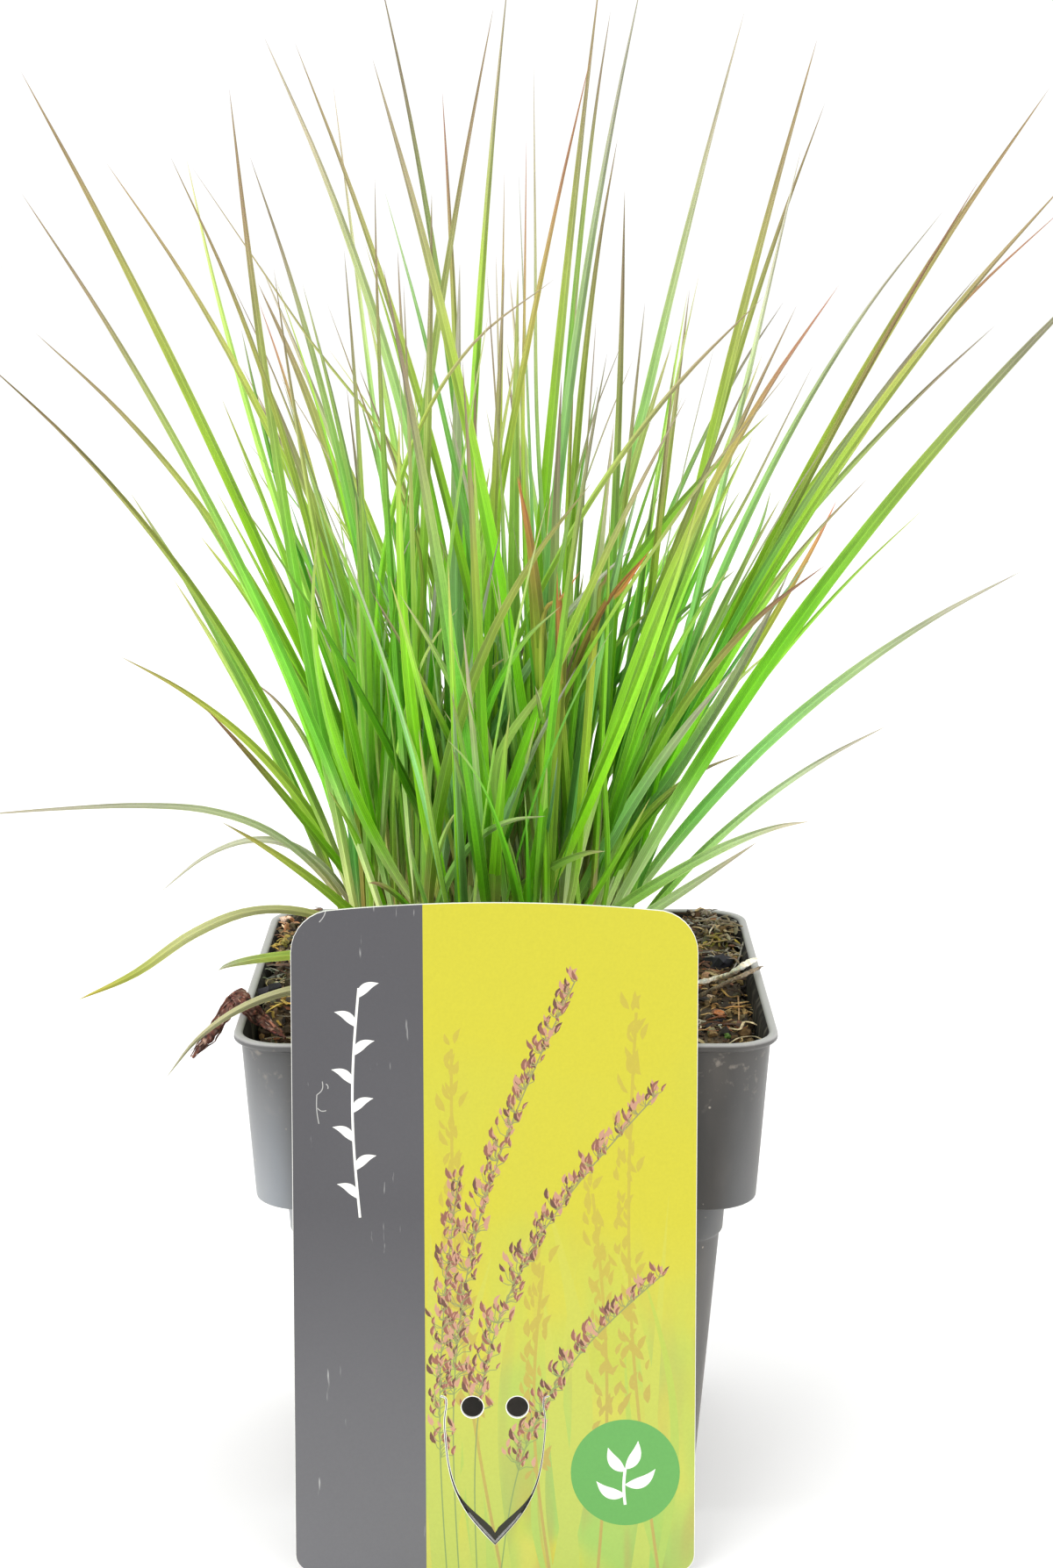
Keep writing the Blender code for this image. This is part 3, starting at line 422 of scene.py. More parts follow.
def shaded_inner_polypropylene(settings):
    """The pot's inner side: the same plastic, painted darker as shade, dulled by wet peat, with
    dried streaks.
    """
    made, add = new_tree("shaded_inner_polypropylene")
    place = add("TexCoord").outputs["Object"]
    upright = add("Mapping", {"Vector": place, "Scale": (1, 1, 0.2)})
    streaks = add("TexNoise", {"Vector": upright, "Scale": 1 / (2 * MM), "Detail": 5})
    dried = add("MapRange", {"Value": streaks, "From Min": 0.5, "From Max": 0.75, "To Max": 0.35})
    # Painted shade: the plastic's colour taken towards black inside the pot
    base = add("Mix", {
        "Factor": dried, "A": rgba(mixed(settings.plastic[:], (0, 0, 0), 0.4)),
        "B": rgba(settings.dust)}, data_type="RGBA")
    bump = add("Bump", {"Height": streaks, "Strength": 0.4, "Distance": 0.1 * MM})
    finish_tree(add, {
        "Base Color": base, "Roughness": 0.85, "Normal": bump, "IOR": 1.49,
        "Specular IOR Level": 0.15})
    return made


def painted_matter(name, grain, stretch, roughness, relief):
    """Natural loose matter. Each bit's own colour is on its points, and the grain breaks it up."""
    made, add = new_tree(name)
    paint = add("Attribute", attribute_name="paint")
    place = add("TexCoord").outputs["Object"]
    along = add("Mapping", {"Vector": place, "Scale": stretch})
    fine = add("TexNoise", {"Vector": along, "Scale": 1 / grain, "Detail": 5, "Roughness": 0.65})
    broad = add("TexNoise", {"Vector": place, "Scale": 0.2 / grain, "Detail": 2})
    level = add("Math", {0: fine, 1: broad}, operation="ADD")
    level = add("MapRange", {
        "Value": level, "From Min": 0.7, "From Max": 1.3, "To Min": 0.45, "To Max": 1.6})
    base = add("Mix", {
        "Factor": 1.0, "A": paint, "B": level}, data_type="RGBA", blend_type="MULTIPLY")
    rough = add("MapRange", {"Value": fine, "To Min": roughness - 0.1, "To Max": roughness + 0.1})
    bump = add("Bump", {"Height": fine, "Strength": 0.7, "Distance": relief})
    finish_tree(add, {
        "Base Color": base, "Roughness": rough, "Normal": bump, "IOR": 1.45,
        "Specular IOR Level": 0.3})
    return made


def living_leaf(name, settings):
    """A grass leaf's skin: fine ribs along it, painted light on one half of its fold and painted
    shade on the other, a midrib and margins paler as painted highlight lines, blotches that also
    stand for painted sheen stripes, a waxy shine, and some light that passes under its skin. A
    leaf's real ribs are finer; they are drawn coarser, so that they show."""
    made, add = new_tree(name)
    paint = add("Attribute", attribute_name="paint")
    place = add("Attribute", attribute_name="place").outputs["Vector"]
    parts = add("SeparateXYZ", {0: place})
    across = parts.outputs["Y"]
    ribs = add("Math", {0: across, 1: tau / settings.ribs}, operation="MULTIPLY")
    ribs = add("Math", {0: ribs}, operation="COSINE")
    # Blotches along the leaf, which also stand for painted sheen stripes
    patches = add("Mapping", {"Vector": place, "Scale": (1 / (14 * MM), 1 / (1.3 * MM), 1)})
    patches = add("TexNoise", {"Vector": patches, "Scale": 1.0, "Detail": 4})
    level = add("MapRange", {
        "Value": patches, "From Min": 0.3, "From Max": 0.7, "To Min": 0.80, "To Max": 1.22})
    level = add("Math", {0: ribs, 1: 0.08, 2: level}, operation="MULTIPLY_ADD")
    # Painted light and shade on the fold: one half of each leaf lighter, the other darker
    fold_light_and_shade = add("TexWhiteNoise", {"W": parts.outputs["Z"]}, noise_dimensions="1D")
    fold_light_and_shade = add("MapRange", {"Value": fold_light_and_shade.outputs["Value"], "To Min": -0.36, "To Max": 0.36})
    half = add("MapRange", {
        "Value": across, "From Min": -0.08 * MM, "From Max": 0.08 * MM, "To Min": -1, "To Max": 1})
    level = add("Math", {0: half, 1: fold_light_and_shade, 2: level}, operation="MULTIPLY_ADD")
    # Painted highlight lines along the midrib and the margins
    middle = add("Math", {0: across}, operation="ABSOLUTE")
    middle = add("MapRange", {
        "Value": middle, "From Min": 0.22 * MM, "From Max": 0.06 * MM, "To Max": 0.28})
    margin = add("MapRange", {
        "Value": paint.outputs["Alpha"], "From Min": 0.84, "From Max": 0.98, "To Max": 0.28})
    pale = add("Math", {0: middle, 1: margin}, operation="MAXIMUM")
    level = add("Math", {0: level, 1: pale}, operation="ADD")
    level = add("Math", {0: level, 1: 1.42}, operation="MINIMUM")
    base = add("Mix", {
        "Factor": 1.0, "A": paint, "B": level}, data_type="RGBA", blend_type="MULTIPLY")
    rough = add("MapRange", {
        "Value": patches, "To Min": settings.gloss - 0.1, "To Max": settings.gloss + 0.1})
    bump = add("Bump", {"Height": ribs, "Strength": 0.5, "Distance": 0.03 * MM})
    finish_tree(add, {
        "Base Color": base, "Roughness": rough, "Normal": bump, "IOR": 1.43,
        "Specular IOR Level": 0.25, "Subsurface Weight": 0.12,
        "Subsurface Radius": (0.7, 1.0, 0.2), "Subsurface Scale": 0.8 * MM})
    return made


def printed_card(name, top, foot, patches=(), scuffs=0.0):
    """Offset print under a gloss film: colours run softly from the card's top to its foot, and
    blurred patches, each with its colour, width, stretch and strength, come up towards its foot.
    Scuffs says how strongly its fine slanting scuffs show."""
    made, add = new_tree(name)
    place = add("TexCoord").outputs["Object"]
    height = add("SeparateXYZ", {0: place}).outputs["Z"]
    clouds = add("TexNoise", {"Vector": place, "Scale": 1 / (38 * MM), "Detail": 1})
    share = add("MapRange", {"Value": height, "From Min": 0.55 * CARD_HIGH.z, "From Max": 0})
    share = add("Math", {0: clouds, 1: 0.3, 2: share}, operation="MULTIPLY_ADD")
    share = add("Math", {0: share, 1: 0.15}, operation="SUBTRACT", use_clamp=True)
    base = add("Mix", {"Factor": share, "A": rgba(top), "B": rgba(foot)}, data_type="RGBA")
    for colour, width, stretch, most in patches:
        upright = add("Mapping", {"Vector": place, "Scale": (1, 1, stretch)})
        soft = add("TexNoise", {"Vector": upright, "Scale": 1 / width, "Detail": 1})
        spread = add("MapRange", {
            "Value": soft, "From Min": 0.46, "From Max": 0.66, "To Max": most},
            interpolation_type="SMOOTHSTEP")
        spread = add("Math", {0: spread, 1: share}, operation="MULTIPLY")
        base = add("Mix", {"Factor": spread, "A": base, "B": rgba(colour)}, data_type="RGBA")
    # The dots of the print are finer in life; they are drawn coarser to show
    dots = add("TexNoise", {"Vector": place, "Scale": 1 / (0.5 * MM), "Detail": 1})
    grain = add("MapRange", {"Value": dots, "To Min": 0.95, "To Max": 1.05})
    base = add("Mix", {
        "Factor": 1.0, "A": base, "B": grain}, data_type="RGBA", blend_type="MULTIPLY")
    slant = add("Mapping", {"Vector": place, "Rotation": (0, 0.5, 0), "Scale": (1, 1, 0.06)})
    marks = add("TexNoise", {"Vector": slant, "Scale": 1 / (0.9 * MM), "Detail": 3})
    marks = add("MapRange", {"Value": marks, "From Min": 0.70, "From Max": 0.76, "To Max": scuffs})
    base = add("Mix", {"Factor": marks, "A": base, "B": rgba(linear("#c9c9c6"))}, data_type="RGBA")
    rough = add("MapRange", {"Value": clouds, "To Min": 0.22, "To Max": 0.40})
    bump = add("Bump", {"Height": dots, "Strength": 0.1, "Distance": 0.02 * MM})
    finish_tree(add, {"Base Color": base, "Roughness": rough, "Normal": bump, "IOR": 1.5})
    return made


def matte_floor(settings):
    """Painted studio board: matte and pale, with the faintest unevenness."""
    made, add = new_tree("matte_board")
    place = add("TexCoord").outputs["Object"]
    clouds = add("TexNoise", {"Vector": place, "Scale": 3, "Detail": 2})    # a third of a metre
    level = add("MapRange", {"Value": clouds, "To Min": 0.985, "To Max": 1.0})
    base = add("Mix", {
        "Factor": 1.0, "A": rgba(settings.floor), "B": level},
        data_type="RGBA", blend_type="MULTIPLY")
    finish_tree(add, {"Base Color": base, "Roughness": 0.9, "Specular IOR Level": 0.1})
    return made


class Shape:
    """Points, faces and colours of a mesh while it is put together."""

    def __init__(self):
        self.points = []
        self.faces = []
        self.paint = []
        self.place = []
        self.kinds = []

    def add(self, points, faces, paint, place=None, kind=0):
        """Add a closed part. Its paint is one colour, or one for each point."""
        first = len(self.points)
        self.points += points
        self.faces += [[first + corner for corner in face] for face in faces]
        self.paint += paint if isinstance(paint, list) else [paint] * len(points)
        self.place += place or [(0, 0, 0)] * len(points)
        self.kinds += [kind] * len(faces)

    def build(self, name, materials, slot, *nodes, sharp):
        """Make the piece, which rides with the object and stands for its nodes of the frame."""
        mesh = bpy.data.meshes.new(name)
        mesh.from_pydata(self.points, [], self.faces)
        mesh.attributes.new("paint", "FLOAT_COLOR", "POINT").data.foreach_set(
            "color", [level for colour in self.paint for level in (*colour, 1)[:4]])
        mesh.attributes.new("place", "FLOAT_VECTOR", "POINT").data.foreach_set(
            "vector", [value for spot in self.place for value in spot])
        mesh.polygons.foreach_set("material_index", self.kinds)
        edit = bmesh.new()
        edit.from_mesh(mesh)
        bmesh.ops.recalc_face_normals(edit, faces=edit.faces)
        edit.to_mesh(mesh)
        edit.free()
        mesh.polygons.foreach_set("use_smooth", [True] * len(mesh.polygons))
        mesh.set_sharp_from_angle(angle=radians(sharp))
        for made in materials:
            mesh.materials.append(made)
        piece = placed(name, mesh)
        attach(piece, BODY)
        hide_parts(*nodes)
        return piece


def placed(name, data):
    """A new object in the scene."""
    made = bpy.data.objects.new(name, data)
    bpy.context.scene.collection.objects.link(made)
    return made


def skin(count, sides, pointed=False):
    """Faces of a tube of so many rings, closed at its start, and at its end or in a point."""
    faces = [tuple(range(sides))]
    for level in range(count - 1):
        for i in range(sides):
            a = level * sides + i
            b = level * sides + (i + 1) % sides
            faces.append((a, b, b + sides, a + sides))
    last = (count - 1) * sides
    if pointed:
        faces += [(last + i, last + (i + 1) % sides, last + sides) for i in range(sides)]
    else:
        faces.append(tuple(range(last, last + sides)))
    return faces


def sight(pixel, depth):
    """The point that a pixel of the photograph shows at a depth along Y."""
    line = AHEAD + RIGHT * (pixel[0] - PHOTO_SIZE[0] / 2) / FOCAL_PX
    line = line + OVERHEAD * (PHOTO_SIZE[1] / 2 - pixel[1]) / FOCAL_PX
    return EYE + line * (depth - EYE.y) / line.y


def sight_down(pixel, height):
    """The point that a pixel of the photograph shows at a height above the ground."""
    near = sight(pixel, 0)
    return EYE + (near - EYE) * (height - EYE.z) / (near.z - EYE.z)


def pixel_of(point):
    """Where the photograph shows a point, in its pixels."""
    line = point - EYE
    scale = FOCAL_PX / line.dot(AHEAD)
    return Vector((PHOTO_SIZE[0] / 2 + line.dot(RIGHT) * scale,
                   PHOTO_SIZE[1] / 2 - line.dot(OVERHEAD) * scale))


def smooth(points, place):
    """A point of the smooth curve through the given ones, place counting from point to point."""
    last = len(points) - 1
    i = max(0, min(last - 1, int(place)))
    t = place - i
    a = points[i - 1] if i else points[0] * 2 - points[1]
    b, c = points[i], points[i + 1]
    d = points[i + 2] if i + 2 <= last else c * 2 - b
    return 0.5 * (2 * b + (c - a) * t + (2 * a - 5 * b + 4 * c - d) * t ** 2
                  + (3 * b - a - 3 * c + d) * t ** 3)


def heading(path, place):
    """The direction of the smooth curve through a path's points, at a place along it."""
    last = len(path) - 1
    ahead = smooth(path, min(place + 0.05, last)) - smooth(path, max(place - 0.05, 0))
    return ahead.normalized()


def level_way(angle):
    """The level direction at an angle from the right, seen from above."""
    return Vector((cos(angle), sin(angle), 0))


def smoothstep(low, high, value):
    """Rise softly from 0 at the low value to 1 at the high one, which may be the smaller."""
    share = max(0.0, min(1.0, (value - low) / (high - low)))
    return share * share * (3 - 2 * share)


def mixed(one, other, share):
    return tuple(a + (b - a) * share for a, b in zip(one, other))


def stepped(stops, colours, share):
    """The colour at a share of the way through a row of colours."""
    for i in range(len(stops) - 1):
        if share <= stops[i + 1]:
            return mixed(colours[i], colours[i + 1], (share - stops[i]) / (stops[i + 1] - stops[i]))
    return colours[-1]


def varied(colour, rng, spread):
    """A colour a little lighter or darker, and a little warmer or cooler."""
    level = 1 + rng.uniform(-spread, spread)
    warm = 1 + rng.uniform(-spread, spread) * 0.5
    return (colour[0] * level * warm, colour[1] * level, colour[2] * level / warm)


def rounded_square(half, radius, height, steps=10, flat_steps=1):
    """The points of a square with round corners, anticlockwise from the right side."""
    points = []
    for corner in range(4):
        middle = Vector((half - radius, half - radius, 0))
        quarter = [middle + level_way(pi / 2 * step / steps) * radius
                   for step in range(steps + 1)]
        flat = 2 * (half - radius) / flat_steps
        quarter += [quarter[-1] - RIGHT * flat * step for step in range(1, flat_steps)]
        for point in quarter:
            point.rotate(Quaternion(UP, corner * pi / 2))
            points.append(point + UP * height)
    return points


def softened(corners, reach):
    """A profile with each of its inner corners turned into a small curve."""
    steps = 3
    soft = [corners[0]]
    for before, corner, after in zip(corners, corners[1:], corners[2:]):
        start, end = (
            mixed(corner, other, min(0.45, reach / sqrt(sum(
                (a - b) ** 2 for a, b in zip(corner, other)))))
            for other in (before, after))
        for step in range(steps + 1):
            t = step / steps
            soft.append(mixed(mixed(start, corner, t), mixed(corner, end, t), t))
    return soft + [corners[-1]]


class MOORGRASS_OT_pot(bpy.types.Operator):
    """Mould the square nursery pot, with its collar, lip, ledge and drain holes"""
    bl_idname = "moorgrass.pot"
    bl_label = "Pot"

    def execute(self, context):
        settings = context.scene.moorgrass_pot
        wall = settings.wall
        collar_top = RIM_HALF - LIP_PROUD
        lip_foot = POT_HEIGHT - LIP_HEIGHT
        ledge = COLLAR_FOOT - LEDGE_DROP
        outside = (
            (0.4 * BODY_FOOT_HALF, 0.4 * BODY_RADIUS, 0),
            (BODY_FOOT_HALF, BODY_RADIUS, 0),
            (BODY_TOP_HALF - 2 * LEDGE, BODY_RADIUS, ledge - LEDGE),
            (BODY_TOP_HALF - LEDGE, BODY_RADIUS, ledge),
            (BODY_TOP_HALF, BODY_RADIUS, COLLAR_FOOT),
            (COLLAR_FOOT_HALF, RIM_RADIUS, COLLAR_FOOT),
            (collar_top, RIM_RADIUS, lip_foot),
            (RIM_HALF, RIM_RADIUS, lip_foot + 0.3 * MM),
            (RIM_HALF, RIM_RADIUS, POT_HEIGHT),
            (RIM_HALF - LIP_TOP, RIM_RADIUS - LIP_TOP / 2, POT_HEIGHT),
            (collar_top - wall, RIM_RADIUS - wall, lip_foot),
            (COLLAR_FOOT_HALF - wall, RIM_RADIUS - wall, COLLAR_FOOT + 2 * wall),
            (BODY_TOP_HALF - 2 * LEDGE - wall, BODY_RADIUS - wall, COLLAR_FOOT + wall),
            (BODY_FOOT_HALF - wall, BODY_RADIUS - wall, FLOOR_THICK),
            (0.4 * BODY_FOOT_HALF, 0.4 * BODY_RADIUS, FLOOR_THICK),
        )
        rings = [rounded_square(*place) for place in softened(outside, settings.rounding)]
        shape = Shape()
        shape.add([point for ring in rings for point in ring],
                  skin(len(rings), len(rings[0])), (0, 0, 0))
        highest = max(i for i, ring in enumerate(rings) if ring[0].z > lip_foot + 0.5 * MM)
        shape.kinds = [int(number > highest * len(rings[0])) for number in range(len(shape.faces))]
        materials = [moulded_polypropylene(settings), shaded_inner_polypropylene(settings)]
        pot = shape.build("nursery_pot", materials, "pot_plastic", "pot", sharp=40)
        cutter = bmesh.new()
        for hole in range(DRAIN_HOLES):
            turn = hole * tau / DRAIN_HOLES
            reach = DRAIN_REACH[hole % 2]
            bmesh.ops.create_cone(
                cutter, cap_ends=True, segments=24, radius1=DRAIN_RADIUS, radius2=DRAIN_RADIUS,
                depth=4 * FLOOR_THICK,
                matrix=Matrix.Translation((reach * cos(turn), reach * sin(turn), 0)))
        carve(pot, cutter)
        return {"FINISHED"}


def carve(piece, cutter):
    """Take a shape out of a piece for good."""
    mesh = bpy.data.meshes.new("cutter")
    cutter.to_mesh(mesh)
    cutter.free()
    tool = placed("cutter", mesh)
    cut = piece.modifiers.new("Cut", "BOOLEAN")
    cut.operation = "DIFFERENCE"
    cut.solver = "EXACT"
    cut.object = tool
    cut_piece = piece.evaluated_get(bpy.context.evaluated_depsgraph_get())
    carved = bpy.data.meshes.new_from_object(cut_piece)
    piece.modifiers.clear()
    piece.data = carved
    bpy.data.objects.remove(tool)


# What stands out on the soil, by its place in the photograph: heaps with their width in mm,
# single bits with their half sizes in mm, and straws with their half thickness in mm
HEAP_BITS = 32
SOIL_HEAPS = (((325, 1052), 3.6, "#b0805c"), ((318, 1064), 3.2, "#a67a4e"),
              ((322, 1078), 4.0, "#a58c44"), ((308, 1092), 3.0, "#8a6a48"),
              ((800, 1049), 3.8, "#8f8578"), ((818, 1050), 3.8, "#8a8070"),
              ((834, 1056), 3.4, "#a08a66"), ((806, 1064), 4.0, "#5f5446"),
              ((828, 1068), 4.5, "#847454"), ((812, 1080), 3.0, "#8f8438"),
              ((840, 1086), 4.0, "#9a8e7e"), ((845, 1150), 4.0, "#a88452"),
              ((318, 1158), 4.0, "#b8964a"), ((300, 1108), 3.5, "#77786a"))
SOIL_BITS = (((820, 1156), (2.4, 1.1, 0.7), "#b87448"), ((812, 1170), (2.6, 1.2, 0.9), "#1f1d20"),
             ((815, 1098), (3.0, 2.4, 1.3), "#23232a"), ((806, 1086), (2.2, 1.0, 0.6), "#8c8078"),
             ((308, 1132), (3.2, 2.6, 1.3), "#1f1c24"), ((829, 1181), (0.6, 0.7, 0.5), "#5c7c38"),
             ((323, 1138), (1.3, 0.6, 0.4), "#e6d6b4"), ((326, 1048), (1.8, 1.0, 0.8), "#dcbca4"),
             ((812, 1137), (0.9, 0.5, 0.5), "#e0c4a8"), ((850, 1128), (1.4, 1.4, 0.8), "#2a2420"),
             ((805, 1142), (2.0, 1.2, 0.7), "#2b2624"))
SOIL_STRAWS = (
    (((832, 1172), (843, 1173), (848, 1165), (858, 1166), (868, 1172)), 0.24, "#dcc8a0"),
    (((830, 1190), (842, 1183), (858, 1181), (868, 1184)), 0.16, "#c4b594"),
    (((876, 1186), (873, 1166), (866, 1154), (855, 1150)), 0.12, "#a89a7c"),
    (((842, 1162), (842, 1150), (841, 1134)), 0.16, "#b08c62"),
    (((822, 1127), (832, 1136), (848, 1134), (860, 1138)), 0.20, "#a88448"),
    (((835, 1150), (848, 1146), (862, 1144), (869, 1140)), 0.18, "#b6924e"),
    (((852, 1062), (846, 1078), (842, 1092), (836, 1104)), 0.16, "#9c958c"),
    (((816, 1052), (809, 1062), (808, 1074)), 0.16, "#c2b8a0"),
    (((786, 1052), (806, 1049), (828, 1050), (846, 1056)), 0.22, "#8c7c60"),
    (((790, 1074), (810, 1068), (830, 1073), (848, 1079)), 0.35, "#6a6054"),
    (((304, 1153), (315, 1146), (326, 1142)), 0.24, "#d9bc62"),
    (((292, 1112), (304, 1104), (316, 1110), (326, 1106)), 0.16, "#98a088"),
    (((288, 1122), (300, 1114), (314, 1120), (326, 1114)), 0.14, "#8c947c"),
    (((313, 1158), (318, 1166), (325, 1172)), 0.22, "#c9a24c"))


def soil_height(settings, x, y):
    """Height of the soil: lumpy, heaped in the two back corners and banked up on its left."""
    heap = max(0.0, min(1.0, y / RIM_HALF)) * max(0.0, min(1.0, abs(x) / RIM_HALF))
    lump = noise.noise(Vector((x, y, 0)) / settings.grain) * settings.lump
    crumble = noise.fractal(Vector((x, y, 0.01)) / (2.2 * MM), 0.9, 2.1, 4) * 0.35 * settings.lump
    bank = 3 * MM * smoothstep(-29 * MM, -38 * MM, x) * smoothstep(-30 * MM, -12 * MM, y)
    height = SOIL_LEVEL + settings.litter + SOIL_RISE * heap + bank + lump + crumble
    return min(height, POT_HEIGHT - 0.3 * MM + 0.3 * crumble)


def on_soil(half, x, y):
    """Whether a spot lies between the crown and the pot's wall."""
    corner = Vector((max(abs(x) - half + RIM_RADIUS, 0), max(abs(y) - half + RIM_RADIUS, 0)))
    within = abs(x) < half and abs(y) < half and corner.length < RIM_RADIUS
    return within and (Vector((x, y)) - PLANT.xy).length > CROWN_RADIUS - 3 * MM


def ball(detail):
    """Points and faces of a ball, from which lumps are pressed."""
    edit = bmesh.new()
    bmesh.ops.create_icosphere(edit, subdivisions=detail, radius=1)
    points = [corner.co.copy() for corner in edit.verts]
    faces = [[corner.index for corner in face.verts] for face in edit.faces]
    edit.free()
    return points, faces


def add_lump(shape, form, centre, size, rng, paint, rough, kind=0, tilt=pi):
    """Press a ball into an uneven lump and lay it down, turned at random."""
    points, faces = form
    turn = Euler([rng.uniform(-most, most) for most in (tilt, tilt, pi)]).to_matrix()
    off = Vector([rng.uniform(-50, 50) for _ in range(3)])
    made = []
    for point in points:
        swell = 1 + rough * noise.noise(point * 1.4 + off)
        made.append(centre + turn @ Vector((a * b * swell for a, b in zip(point, size))))
    shape.add(made, faces, paint, kind=kind)


def add_thread(shape, path, radii, paint, sides, steps=10, kind=0):
    """Spin a thin round or flat thread through a few points. Radii gives its half width and half
    height at a share of its length."""
    rings = []
    for step in range(steps):
        share = step / (steps - 1)
        place = share * (len(path) - 1)
        middle = smooth(path, place)
        along = heading(path, place)
        side = along.cross(UP if abs(along.z) < 0.9 else RIGHT).normalized()
        over = side.cross(along)
        wide, high = radii(share)
        for turn in range(sides):
            angle = tau * turn / sides
            rings.append(middle + side * cos(angle) * wide + over * sin(angle) * high)
    shape.add(rings, skin(steps, sides), paint, kind=kind)


def wander(rng, start, length, curl, lift):
    """A few points of a thread that wanders off over the ground."""
    turn = rng.uniform(-pi, pi)
    path = [start]
    for _ in range(4):
        turn += rng.uniform(-curl, curl)
        step = Vector((cos(turn), sin(turn), rng.uniform(-lift, lift))) * length / 4
        path.append(path[-1] + step)
    return path


